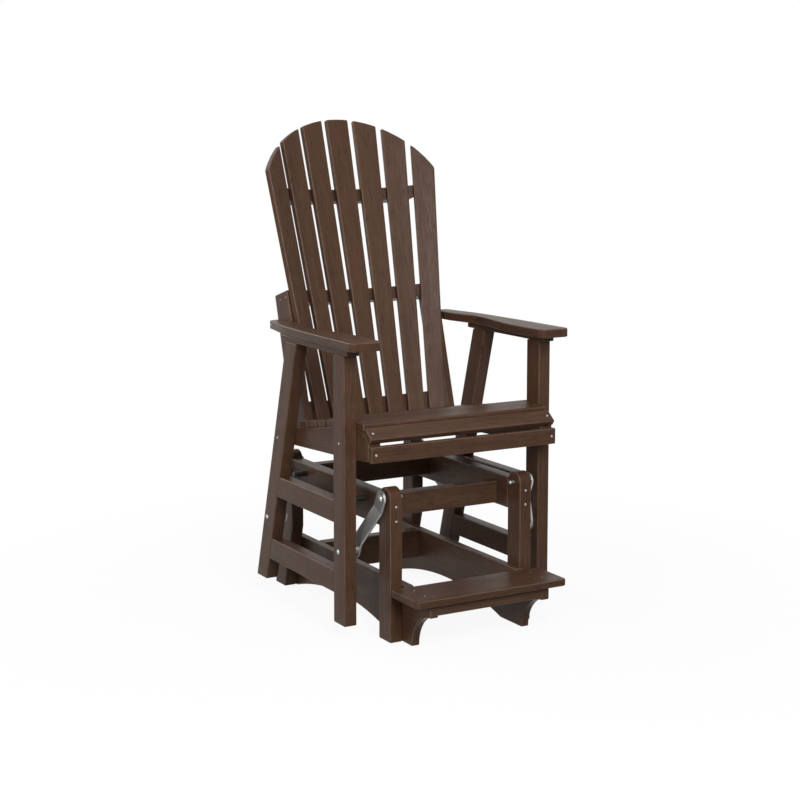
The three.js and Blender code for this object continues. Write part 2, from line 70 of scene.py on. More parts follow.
@dataclass(frozen=True)
class Stock:
    """Board stock, rounding and fits that all sub-assemblies share, in metres and radians."""

    thick: float = 0.0381
    middle: float = 0.0254
    thin: float = 0.019
    roundover: float = 0.0034
    seam: float = 0.0003
    round_steps: int = 3
    corner_steps: int = 6
    sharp: float = math.radians(32)
    gentle: float = math.radians(20)
    full_rounding: float = math.radians(29)
    metal_crease: float = math.radians(40)
    screw_crease: float = math.radians(50)


STOCK = Stock()


# Node trees


class Wire:
    """An output socket of a node tree, with the arithmetic that formulas need."""

    def __init__(self, tree: "Tree", socket: bpy.types.NodeSocket) -> None:
        """Keeps the tree and the socket."""
        self.tree = tree
        self.socket = socket

    def __add__(self, other: "Wire | float") -> "Wire":
        """Sum."""
        return self.tree.math("ADD", self, other)

    def __sub__(self, other: "Wire | float") -> "Wire":
        """Difference."""
        return self.tree.math("SUBTRACT", self, other)

    def __mul__(self, other: "Wire | float") -> "Wire":
        """Product."""
        return self.tree.math("MULTIPLY", self, other)

    def __truediv__(self, other: "Wire | float") -> "Wire":
        """Quotient."""
        return self.tree.math("DIVIDE", self, other)


class Tree:
    """A shader or geometry node tree that is written as code."""

    def __init__(self, nodes: bpy.types.NodeTree) -> None:
        """Wraps a node tree.

        Args:
            nodes: the tree to add nodes to.
        """
        self.nodes = nodes
        self.entry: bpy.types.Node | None = None
        self.exit: bpy.types.Node | None = None

    @classmethod
    def group(cls, name: str, kind: str, inputs: dict[str, str], outputs: dict[str, str]) -> "Tree":
        """Makes a node group with named sockets.

        Args:
            name: the group's name.
            kind: the Blender class name of the tree.
            inputs: socket types by input name.
            outputs: socket types by output name.

        Returns:
            The new tree.
        """
        nodes = bpy.data.node_groups.new(name, kind)
        for label, socket_type in inputs.items():
            nodes.interface.new_socket(label, in_out="INPUT", socket_type=socket_type)
        for label, socket_type in outputs.items():
            nodes.interface.new_socket(label, in_out="OUTPUT", socket_type=socket_type)
        tree = cls(nodes)
        tree.entry = tree.add("NodeGroupInput")
        tree.exit = tree.add("NodeGroupOutput")
        return tree

    def put(self, socket: bpy.types.NodeSocket, value: object) -> None:
        """Links a wire to a socket, or sets the socket's own value.

        Args:
            socket: an input socket.
            value: a wire or a plain value.
        """
        if isinstance(value, Wire):
            self.nodes.links.new(value.socket, socket)
        elif value is not None:
            socket.default_value = value

    def add(self, kind: str, inputs: dict | None = None, **settings: object) -> bpy.types.Node:
        """Adds a node.

        Args:
            kind: the node's Blender class name.
            inputs: wires or values by input name or number.
            **settings: the node's own properties.

        Returns:
            The new node.
        """
        node = self.nodes.nodes.new(kind)
        for label, value in settings.items():
            setattr(node, label, value)
        for label, value in (inputs or {}).items():
            self.put(node.inputs[label], value)
        return node

    def wire(self, node: bpy.types.Node, output: str | int = 0) -> Wire:
        """The wire from one of a node's outputs."""
        return Wire(self, node.outputs[output])

    def given(self, label: str) -> Wire:
        """The wire from one of the group's named inputs."""
        return Wire(self, self.entry.outputs[label])

    def math(self, operation: str, *values: "Wire | float", clamp: bool = False) -> Wire:
        """One step of arithmetic.

        Args:
            operation: the Math node's operation.
            *values: its operands.
            clamp: whether the result is held between 0 and 1.

        Returns:
            The result's wire.
        """
        inputs = dict(enumerate(values))
        return self.wire(self.add("ShaderNodeMath", inputs, operation=operation, use_clamp=clamp))

    def vector(self, x: "Wire | float", y: "Wire | float", z: "Wire | float") -> Wire:
        """A vector from three parts."""
        return self.wire(self.add("ShaderNodeCombineXYZ", {"X": x, "Y": y, "Z": z}))

    def parts(self, vector: Wire) -> tuple[Wire, Wire, Wire]:
        """The three parts of a vector."""
        node = self.add("ShaderNodeSeparateXYZ", {0: vector})
        return self.wire(node, "X"), self.wire(node, "Y"), self.wire(node, "Z")

    def vector_math(self, operation: str, *values: object) -> Wire:
        """One step of arithmetic on vectors."""
        return self.wire(self.add("ShaderNodeVectorMath", dict(enumerate(values)), operation=operation))

    def ramp(self, value: Wire, low: float, high: float) -> Wire:
        """A smooth step of a value from 0 at low to 1 at high."""
        inputs = {"Value": value, "From Min": low, "From Max": high}
        return self.wire(self.add("ShaderNodeMapRange", inputs, interpolation_type="SMOOTHSTEP"))

    def noise(self, vector: Wire, scale: float = 1.0, detail: float = 2.0, roughness: float = 0.5) -> Wire:
        """Soft noise between 0 and 1 along a vector."""
        inputs = {"Vector": vector, "Scale": scale, "Detail": detail, "Roughness": roughness}
        return self.wire(self.add("ShaderNodeTexNoise", inputs), "Fac")

    def mix(self, share: Wire, one: "Wire | Colour", other: "Wire | Colour") -> Wire:
        """A colour between two others, of which the share is how much of the second shows."""
        colours = {0: share, 6: one, 7: other}
        return self.wire(self.add("ShaderNodeMix", colours, data_type="RGBA"), 2)

    def mark(self, name: str, output: str) -> Wire:
        """The wire from a mesh attribute, in a finish."""
        return self.wire(self.add("ShaderNodeAttribute", attribute_name=name), output)

    def named(self, name: str, kind: str) -> Wire:
        """The wire from a mesh attribute, in a geometry tree."""
        return self.wire(self.add("GeometryNodeInputNamedAttribute", {"Name": name}, data_type=kind))

    def stored(self, geometry: Wire, name: str, value: Wire, kind: str, domain: str) -> Wire:
        """Geometry that carries a value as a named attribute."""
        inputs = {"Geometry": geometry, "Name": name, "Value": value}
        return self.wire(self.add("GeometryNodeStoreNamedAttribute", inputs, data_type=kind, domain=domain))

    def painted(self, geometry: Wire) -> Wire:
        """Geometry with the tree's Finish input as its material."""
        inputs = {"Geometry": geometry, "Material": self.given("Finish")}
        return self.wire(self.add("GeometryNodeSetMaterial", inputs))

    def result(self, **values: Wire) -> bpy.types.NodeTree:
        """Feeds the group's outputs, with spaces written as underscores, and returns the group."""
        for label, value in values.items():
            self.put(self.exit.inputs[label.replace("_", " ")], value)
        return self.nodes


def blank_tree(owner: bpy.types.Material | bpy.types.World) -> Tree:
    """The emptied node tree of a material or a world."""
    owner.use_nodes = True
    owner.node_tree.nodes.clear()
    return Tree(owner.node_tree)


def linked(name: str, data: bpy.types.ID) -> bpy.types.Object:
    """A new object of the scene with its mesh, lamp or camera."""
    made = bpy.data.objects.new(name, data)
    bpy.context.scene.collection.objects.link(made)
    return made


def grown(piece: bpy.types.Object, group: bpy.types.NodeTree, sizes: dict[str, object]) -> bpy.types.Object:
    """Runs a geometry node tree on a piece and keeps the result as its plain mesh.

    Args:
        piece: the object whose mesh goes into the tree.
        group: the tree.
        sizes: values of the tree's inputs by name.

    Returns:
        The same object, with its new mesh.
    """
    modifier = piece.modifiers.new(group.name, "NODES")
    modifier.node_group = group
    for socket in group.interface.items_tree:
        if socket.item_type == "SOCKET" and socket.in_out == "INPUT" and socket.name in sizes:
            modifier[socket.identifier] = sizes[socket.name]
    graph = bpy.context.evaluated_depsgraph_get()
    graph.update()
    made = bpy.data.meshes.new_from_object(piece.evaluated_get(graph), depsgraph=graph)
    piece.modifiers.remove(modifier)
    spent = piece.data
    piece.data = made
    bpy.data.meshes.remove(spent)
    made.name = piece.name
    return piece


# Finishes


@dataclass(frozen=True)
class Grain:
    """Lengthwise grain of moulded lumber; triples run along, across and through the board."""

    sway_scale: Point3 = (3.0, 9.0, 9.0)
    sway_widths: float = 5.0
    drift_scale: Point3 = (1.6, 26.0, 26.0)
    fine_scale: Point3 = (2.2, 2.9, 2.9)
    dash_scale: Point3 = (4.0, 1.9, 1.9)
    streak_detail: float = 3.0
    streak_rough: float = 0.6
    streak_tone: float = 0.62
    streak_height: float = 0.6
    pore_height: float = 0.5
    pore_start: float = 0.6
    pore_full: float = 0.72

    def group(self) -> bpy.types.NodeTree:
        """Builds the shader group.

        Returns:
            A group with Streaks, Drift and Pores, each from 0 to 1, and an embossing Height.
        """
        inputs = {"Board": VECTOR, "Streak Length": FLOAT, "Streak Width": FLOAT}
        outputs = dict.fromkeys(("Streaks", "Drift", "Pores", "Height"), FLOAT)
        tree = Tree.group("lumber_grain", "ShaderNodeTree", inputs, outputs)
        board = tree.parts(tree.given("Board"))
        along, across, through = board
        length, width = tree.given("Streak Length"), tree.given("Streak Width")
        sway = tree.noise(tree.vector(*(part * scale for part, scale in zip(board, self.sway_scale))))
        sway = (sway - 0.5) * width * self.sway_widths
        near = tree.vector(along / length, (across + sway) / width, (through + sway) / width)
        streaks = tree.noise(near, 1.0, self.streak_detail, self.streak_rough)
        fine = tree.noise(tree.vector_math("MULTIPLY", near, self.fine_scale), 1.0, 1.0)
        drift = tree.noise(tree.vector(*(part * scale for part, scale in zip(board, self.drift_scale))))
        dash = tree.noise(tree.vector_math("MULTIPLY", near, self.dash_scale), 1.0, 0.0)
        pores = tree.ramp(dash, self.pore_start, self.pore_full)
        tone = streaks * self.streak_tone + fine * (1.0 - self.streak_tone)
        height = streaks * self.streak_height + fine * (1.0 - self.streak_height) - pores * self.pore_height
        return tree.result(Streaks=tone, Drift=drift, Pores=pores, Height=height)


@dataclass(frozen=True)
class EdgeWearHighlight:
    """Edges made paler than the faces: partly wear from handling, partly a painted highlight where the
    rounded edges catch the light.
    """

    patch_scale: float = 18.0
    patch_start: float = 0.3
    patch_full: float = 0.62
    patch_share: float = 0.6

    def group(self) -> bpy.types.NodeTree:
        """Builds the shader group.

        Returns:
            A group with a mask from 0 to 1 for the pale edges, partly wear and partly painted highlight.
        """
        inputs = {"Edge": FLOAT, "Place": VECTOR, "Amount": FLOAT}
        tree = Tree.group("soft_edge", "ShaderNodeTree", inputs, {"Rub": FLOAT})
        noise = tree.noise(tree.given("Place"), self.patch_scale, 3.0, 0.6)
        patches = tree.ramp(noise, self.patch_start, self.patch_full) * self.patch_share
        # Paler edges: partly wear, partly a painted highlight where the edges catch the light.
        edge_wear_and_highlight = tree.given("Edge") * (patches + (1.0 - self.patch_share)) * tree.given("Amount")
        return tree.result(Rub=edge_wear_and_highlight)


class Groups:
    """The finishes' shader groups, each built once: the grain, and the pale edges, worn and with a painted
    highlight, that all finishes share.
    """

    grain: bpy.types.NodeTree
    edge: bpy.types.NodeTree

    @classmethod
    def build(cls) -> None:
        """Builds the groups."""
        cls.grain = Grain().group()
        cls.edge = EdgeWearHighlight().group()

    @classmethod
    def edge_wear_and_highlight(cls, tree: Tree, board: Wire, amount: float) -> Wire:
        """The mask of a finish's pale edges: partly wear, partly painted highlight.

        Args:
            tree: the material's tree.
            board: the place on the board.
            amount: how strong the pale edges are, wear and painted highlight together.

        Returns:
            The mask, from 0 to the amount.
        """
        inputs = {"Edge": tree.mark("edge", "Fac"), "Place": board, "Amount": amount}
        return tree.wire(tree.add("ShaderNodeGroup", inputs, node_tree=cls.edge), "Rub")


def new_material(name: str) -> tuple[bpy.types.Material, Tree, bpy.types.Node]:
    """A material with one surface shader.

    Args:
        name: the material's name.

    Returns:
        The material, its tree and its surface shader.
    """
    material = bpy.data.materials.new(name)
    tree = blank_tree(material)
    shader = tree.add("ShaderNodeBsdfPrincipled")
    tree.add("ShaderNodeOutputMaterial", {"Surface": tree.wire(shader)})
    return material, tree, shader


@dataclass(frozen=True)
class Lumber:
    """Moulded poly lumber in dark brown, with fine embossed grain along each board."""

    name: str = "brown_lumber"
    base: Colour = (0.047, 0.021, 0.0115, 1.0)
    pale: Colour = (0.086, 0.044, 0.026, 1.0)
    dark: Colour = (0.018, 0.008, 0.0045, 1.0)
    # Pale edge colour: partly wear, partly a painted highlight where the edges catch the light.
    edge_wear_highlight_colour: Colour = (0.130, 0.085, 0.060, 1.0)
    streak_length: float = 0.16
    streak_width: float = 0.0022
    emboss: float = 0.0005
    emboss_strength: float = 0.55
    edge_wear_and_highlight: float = 0.65
    sheen_level: float = 0.1
    roughness: float = 0.42
    roughness_drop: float = 0.12
    lift_range: Span = (0.36, 0.68)
    drift_range: Span = (0.3, 0.7)
    lift_share: float = 0.62
    pore_share: float = 0.75

    def material(self) -> bpy.types.Material:
        """Builds the finish and returns it."""
        material, tree, shader = new_material(self.name)
        board = tree.mark("board", "Vector")
        inputs = {"Board": board, "Streak Length": self.streak_length, "Streak Width": self.streak_width}
        grain = tree.add("ShaderNodeGroup", inputs, node_tree=Groups.grain)
        streaks, drift, pores, height = (tree.wire(grain, output) for output in range(4))
        lift = tree.ramp(streaks, *self.lift_range) * self.lift_share
        slow = tree.ramp(drift, *self.drift_range) * (1.0 - self.lift_share)
        share = tree.math("ADD", lift, slow, clamp=True)
        tone = tree.mix(share, self.base, self.pale)
        tone = tree.mix(pores * self.pore_share, tone, self.dark)
        # Edges turn paler: partly wear, partly a painted highlight.
        tone = tree.mix(Groups.edge_wear_and_highlight(tree, board, self.edge_wear_and_highlight), tone, self.edge_wear_highlight_colour)
        bump = {"Strength": self.emboss_strength, "Distance": self.emboss, "Height": height}
        tree.put(shader.inputs["Base Color"], tone)
        tree.put(shader.inputs["Roughness"], share * -self.roughness_drop + self.roughness)
        tree.put(shader.inputs["Specular IOR Level"], self.sheen_level)
        tree.put(shader.inputs["Normal"], tree.wire(tree.add("ShaderNodeBump", bump)))
        return material


@dataclass(frozen=True)
class Steel:
    """Satin stainless steel, brushed, with paler edges: partly worn, partly a painted highlight."""

    name: str = "satin_steel"
    colour: Colour = (0.40, 0.40, 0.385, 1.0)
    # Pale edge tone: partly wear, partly a painted highlight where the edges catch the light.
    edge_wear_highlight_tone: Colour = (0.62, 0.615, 0.60, 1.0)
    roughness: float = 0.36
    metallic: float = 0.85
    brush_width: float = 0.0006
    brush_length: float = 0.03
    scratch: float = 0.00006
    scratch_strength: float = 0.4
    cloud_scale: float = 22.0
    edge_wear_and_highlight: float = 0.8
    brush_share: float = 0.14
    cloud_share: float = 0.12

    def material(self) -> bpy.types.Material:
        """Builds the finish and returns it."""
        material, tree, shader = new_material(self.name)
        board = tree.mark("board", "Vector")
        along, across, through = tree.parts(board)
        width = self.brush_width
        brush = tree.noise(tree.vector(along / self.brush_length, across / width, through / width))
        cloud = tree.noise(board, self.cloud_scale, 3.0)
        # Edges turn paler: partly wear, partly a painted highlight.
        tone = tree.mix(Groups.edge_wear_and_highlight(tree, board, self.edge_wear_and_highlight), self.colour, self.edge_wear_highlight_tone)
        uneven = (brush - 0.5) * self.brush_share + (cloud - 0.5) * self.cloud_share
        bump = {"Strength": self.scratch_strength, "Distance": self.scratch, "Height": brush}
        tree.put(shader.inputs["Base Color"], tone)
        tree.put(shader.inputs["Metallic"], self.metallic)
        tree.put(shader.inputs["Roughness"], uneven + self.roughness)
        tree.put(shader.inputs["Normal"], tree.wire(tree.add("ShaderNodeBump", bump)))
        return material


class Finish(Enum):
    """The finishes of the chair: each one's own name, and the record's slot that it belongs to."""

    LUMBER = ("brown_lumber", "lumber")
    STEEL = ("satin_steel", "steel")
    DULL_STEEL = ("dull_steel", "steel")
    BLACK_STEEL = ("black_steel", "steel")

    @property
    def slot(self) -> str:
        """The record's slot."""
        return self.value[1]


class Palette:
    """The built materials by finish."""

    made: dict[Finish, bpy.types.Material] = {}

    @classmethod
    def build(cls) -> None:
        """Builds every finish."""
        Groups.build()
        # Each steel's second colour is its pale edge tone: partly wear, partly a painted highlight.
        dull = Steel(Finish.DULL_STEEL.value[0], (0.30, 0.29, 0.28, 1.0), (0.42, 0.41, 0.40, 1.0), 0.38)
        black_tones = (0.016, 0.015, 0.014, 1.0), (0.05, 0.048, 0.046, 1.0)
        black = Steel(Finish.BLACK_STEEL.value[0], *black_tones, roughness=0.45, metallic=0.3)
        cls.made = {
            Finish.LUMBER: Lumber().material(),
            Finish.STEEL: Steel().material(),
            Finish.DULL_STEEL: dull.material(),
            Finish.BLACK_STEEL: black.material(),
        }


# Making boards


class Plane(Enum):
    """The plane of an outline: its two drawing axes, and the axis it is pushed along."""

    SIDE = (Vector((0, 1, 0)), Vector((0, 0, 1)), Vector((1, 0, 0)))
    PLAN = (Vector((1, 0, 0)), Vector((0, 1, 0)), Vector((0, 0, 1)))


ALONG_X = Vector((1, 0, 0))
ALONG_Y = Vector((0, 1, 0))
ALONG_Z = Vector((0, 0, 1))


def above(along: Vector) -> Vector:
    """The way out of a top face, for a line that runs forward along it, in Y and Z."""
    return Vector((along.y, -along.x))


def rectangle(a0: float, a1: float, b0: float, b1: float) -> list[Point]:
    """The four corners of a rectangle."""
    return [(a0, b0), (a1, b0), (a1, b1), (a0, b1)]


def arc(centre: Point, radius: float, start: float, end: float, steps: int = 14) -> list[Point]:
    """Points along a round arc.

    Args:
        centre: its middle.
        radius: its radius.
        start: the first angle, in degrees.
        end: the last angle, in degrees.
        steps: how many chords it has.

    Returns:
        The points from start to end.
    """
    angles = [math.radians(start + (end - start) * index / steps) for index in range(steps + 1)]
    return [(centre[0] + radius * math.cos(a), centre[1] + radius * math.sin(a)) for a in angles]


def eased(outline: list[Point], radius: float) -> list[Point]:
    """An outline with its sharp corners rounded.

    Args:
        outline: the corners.
        radius: the rounding's radius; gentle bends stay as they are.

    Returns:
        The rounded outline.
    """
    points = []
    count = len(outline)
    for index in range(count):
        corner = Vector(outline[index])
        back = Vector(outline[index - 1]) - corner
        on = Vector(outline[(index + 1) % count]) - corner
        turn = math.pi - back.angle(on)
        if turn < STOCK.gentle:
            points.append(tuple(corner))
            continue
        reach = min(radius * math.tan(turn / 2), min(back.length, on.length) / 2)
        enter, leave = corner + back.normalized() * reach, corner + on.normalized() * reach
        steps = STOCK.corner_steps
        for step in range(steps + 1):
            t = step / steps
            points.append(tuple(enter * (1 - t) ** 2 + corner * 2 * t * (1 - t) + leave * t**2))
    return points


def tidy_edges(bm: bmesh.types.BMesh, radius: float, steps: int) -> None:
    """Rounds every sharp edge of a closed shape.

    Args:
        bm: the shape.
        radius: how far the rounding reaches.
        steps: how many facets it has.
    """
    sharp = [e for e in bm.edges if e.is_manifold and e.calc_face_angle(0.0) > STOCK.sharp]
    bmesh.ops.bevel(
        bm,
        geom=sharp,
        offset=radius,
        offset_type="OFFSET",
        segments=steps,
        profile=0.5,
        affect="EDGES",
        clamp_overlap=False,
    )


def mark_edges(bm: bmesh.types.BMesh) -> None:
    """Writes on each point how much it lies on a rounded edge, from 0 to 1, for the finishes."""
    layer = bm.verts.layers.float.new("edge")
    low, high = STOCK.gentle, STOCK.full_rounding
    for vert in bm.verts:
        normals = [face.normal for face in vert.link_faces]
        spread = max((a.angle(b, 0.0) for a in normals for b in normals), default=0.0)
        vert[layer] = min(1.0, max(0.0, (spread - low) / (high - low)))


def mark_board(bm: bmesh.types.BMesh, grain: Vector, lot: float) -> None:
    """Writes on each point its place along, across and through the board, for the grain.

    Args:
        bm: the shape, before it is bent or placed.
        grain: the way its grain runs.
        lot: the board's own number, so that no two boards show the same grain.
    """
    layer = bm.verts.layers.float_vector.new("board")
    along = grain.normalized()
    across = along.cross(ALONG_X if abs(along.x) < 0.7 else ALONG_Z).normalized()
    through = along.cross(across)
    start = Vector([math.sin(lot * turn) * reach for turn, reach in zip(LOT_TURNS, LOT_REACH)])
    for vert in bm.verts:
        vert[layer] = Vector((vert.co @ along, vert.co @ across, vert.co @ through)) + start


def flip_to(bm: bmesh.types.BMesh, side: float) -> None:
    """Mirrors a shape that is drawn on the right side, where the side is the left one."""
    if side < 0:
        bmesh.ops.transform(bm, matrix=Matrix.Scale(-1, 4, ALONG_X), verts=bm.verts)
        bmesh.ops.reverse_faces(bm, faces=bm.faces)


def cut_across(bm: bmesh.types.BMesh, at: Vector, way: Vector) -> None:
    """Cuts a shape's faces along a plane and keeps both sides."""
    everything = [*bm.verts, *bm.edges, *bm.faces]
    bmesh.ops.bisect_plane(bm, geom=everything, plane_co=at, plane_no=way)


def kept(bm: bmesh.types.BMesh, name: str, finish: Finish) -> bpy.types.Object:
    """Turns a shape into a smooth-shaded piece with its finish.

    Args:
        bm: the shape, which is freed.
        name: the piece's name.
        finish: its finish.

    Returns:
        The new object.
    """
    mesh = bpy.data.meshes.new(name)
    bm.to_mesh(mesh)
    bm.free()
    mesh.shade_smooth()
    mesh.materials.append(Palette.made[finish])
    return linked(name, mesh)


def settled(piece: bpy.types.Object, body: str, finish: Finish, *nodes: str) -> bpy.types.Object:
    """Joins a finished piece to its body and hides the CAD nodes that it replaces.

    Args:
        piece: the piece, in place.
        body: the body that it rides on.
        finish: its finish; not used.
        *nodes: the CAD nodes that it replaces.

    Returns:
        The same piece.
    """
    normals = piece.modifiers.new("flat_faces", "WEIGHTED_NORMAL")
    normals.keep_sharp = True
    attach(piece, body)
    if nodes:
        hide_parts(*nodes)
    log.info("%s rides on %s, %d faces", piece.name, body, len(piece.data.polygons))
    return piece


@dataclass
class Board:
    """One board: an outline pushed through its thickness, with its edges rounded.

    Attributes:
        outline: its corners in the drawing plane.
        plane: the drawing plane.
        low: where it starts along the third axis.
        high: where it ends.
        grain: the way its grain runs.
        corner: the rounding of the outline's own corners, or nothing.
        roundover: the rounding of all edges.
        from_front: whether Y is counted from the front posts.
    """

    outline: list[Point]
    plane: Plane
    low: float
    high: float
    grain: Vector
    corner: float = 0.0
    roundover: float = STOCK.roundover
    from_front: bool = True

    def shape(self, side: float = 1.0, place: Matrix | None = None, lot: float = 0.0) -> bmesh.types.BMesh:
        """Builds the board.

        Args:
            side: 1 as drawn, or -1 for its mirror image across the middle.
            place: a last move, for boards drawn in a leaned frame.
            lot: the board's own number, for its grain.

        Returns:
            The closed shape.
        """
        outline = eased(self.outline, self.corner) if self.corner else self.outline
        first, second, push = self.plane.value
        bm = bmesh.new()
        ring = [bm.verts.new(first * a + second * b + push * self.low) for a, b in outline]
        cap = bm.faces.new(ring)
        grown_cap = bmesh.ops.extrude_face_region(bm, geom=[cap])["geom"]
        moved = [item for item in grown_cap if isinstance(item, bmesh.types.BMVert)]
        bmesh.ops.translate(bm, verts=moved, vec=push * (self.high - self.low))
        bmesh.ops.recalc_face_normals(bm, faces=bm.faces)
        tidy_edges(bm, self.roundover, STOCK.round_steps)
        mark_board(bm, self.grain, lot)
        mark_edges(bm)
        if place is not None:
            bmesh.ops.transform(bm, matrix=place, verts=bm.verts)
        if self.from_front:
            bmesh.ops.translate(bm, verts=bm.verts, vec=(0, FRONT, 0))
        flip_to(bm, side)
        return bm


class Counter:
    """Numbers the boards, so that each has its own grain."""

    last = 0

    @classmethod
    def next(cls) -> float:
        """The next board's number."""
        cls.last += 1
        return float(cls.last)


def fit_shape(shape: bmesh.types.BMesh, node: str, body: str) -> None:
    """Keeps a board's finished shape in the place of a CAD node."""
    settled(kept(shape, f"{node}_board", Finish.LUMBER), body, Finish.LUMBER, node)


def fit_board(board: Board, node: str, body: str, place: Matrix | None = None) -> None:
    """Builds one board in the place of a CAD node.

    Args:
        board: the board.
        node: the node it replaces.
        body: the body it rides on.
        place: a last move.
    """
    fit_shape(board.shape(1.0, place, Counter.next()), node, body)


def fit_pair(board: Board, node: str, body: str, place: Matrix | None = None) -> None:
    """Builds a board and its mirror image in the place of two CAD nodes.

    Args:
        board: the board of the right side.
        node: the nodes' shared name.
        body: the body they ride on.
        place: a last move.
    """
    for word, side in SIDES.items():
        fit_shape(board.shape(side, place, Counter.next()), f"{node}_{word}", body)


# Turned metal


RIM_TURNS = [math.radians(angle) for angle in (0, 30, 60, 90)]
DOME_TURNS = [math.radians(angle) for angle in range(0, 90, 15)]


def turned(bm: bmesh.types.BMesh, profile: list[Point], centre: Vector, facets: int = 28) -> None:
    """Adds a shape turned about a line along X.

    Args:
        bm: the shape to add to.
        profile: places along X and radii, closed on the axis at both ends.
        centre: the Y and Z of the line, as a vector.
        facets: how many faces go round.
    """
    rings = []
    for x, radius in profile:
        if radius < WELD:
            rings.append([bm.verts.new((x, centre.y, centre.z))])
            continue
        angles = [2 * math.pi * index / facets for index in range(facets)]
        round_line = [(centre.y + radius * math.cos(a), centre.z + radius * math.sin(a)) for a in angles]
        rings.append([bm.verts.new((x, y, z)) for y, z in round_line])
    for one, other in zip(rings, rings[1:]):
        for index in range(facets):
            after = (index + 1) % facets
            pairs = ((one, index), (one, after), (other, after), (other, index))
            unique = list(dict.fromkeys(ring[at % len(ring)] for ring, at in pairs))
            if len(unique) > 2:
                bm.faces.new(unique)


def disc(bm: bmesh.types.BMesh, ends: Span, radius: float, centre: Vector, ease: float = 0.0005) -> None:
    """Adds a washer, spacer or cap with round rims.

    Args:
        bm: the shape to add to.
        ends: its two places along X.
        radius: its radius.
        centre: the Y and Z of its line, as a vector.
        ease: the rounding of its rims.
    """
    start, end = ends
    rim = [(ease * (1 - math.cos(a)), radius - ease + ease * math.sin(a)) for a in RIM_TURNS]
    low = [(start + along, out) for along, out in rim]
    high = [(end - along, out) for along, out in reversed(rim)]
    turned(bm, [(start, 0.0), *low, *high, (end, 0.0)], centre)


def dome(bm: bmesh.types.BMesh, start: float, radius: float, height: float, centre: Vector) -> None:
    """Adds a low round head that rises from a place along X.

    Args:
        bm: the shape to add to.
        start: where its flat face lies.
        radius: the flat face's radius.
        height: how far it rises.
        centre: the Y and Z of its line, as a vector.
    """
    rise = [(start + height * math.sin(a), radius * math.cos(a)) for a in DOME_TURNS]
    turned(bm, [(start, 0.0), *rise, (start + height, 0.0)], centre, facets=32)


# The standing base


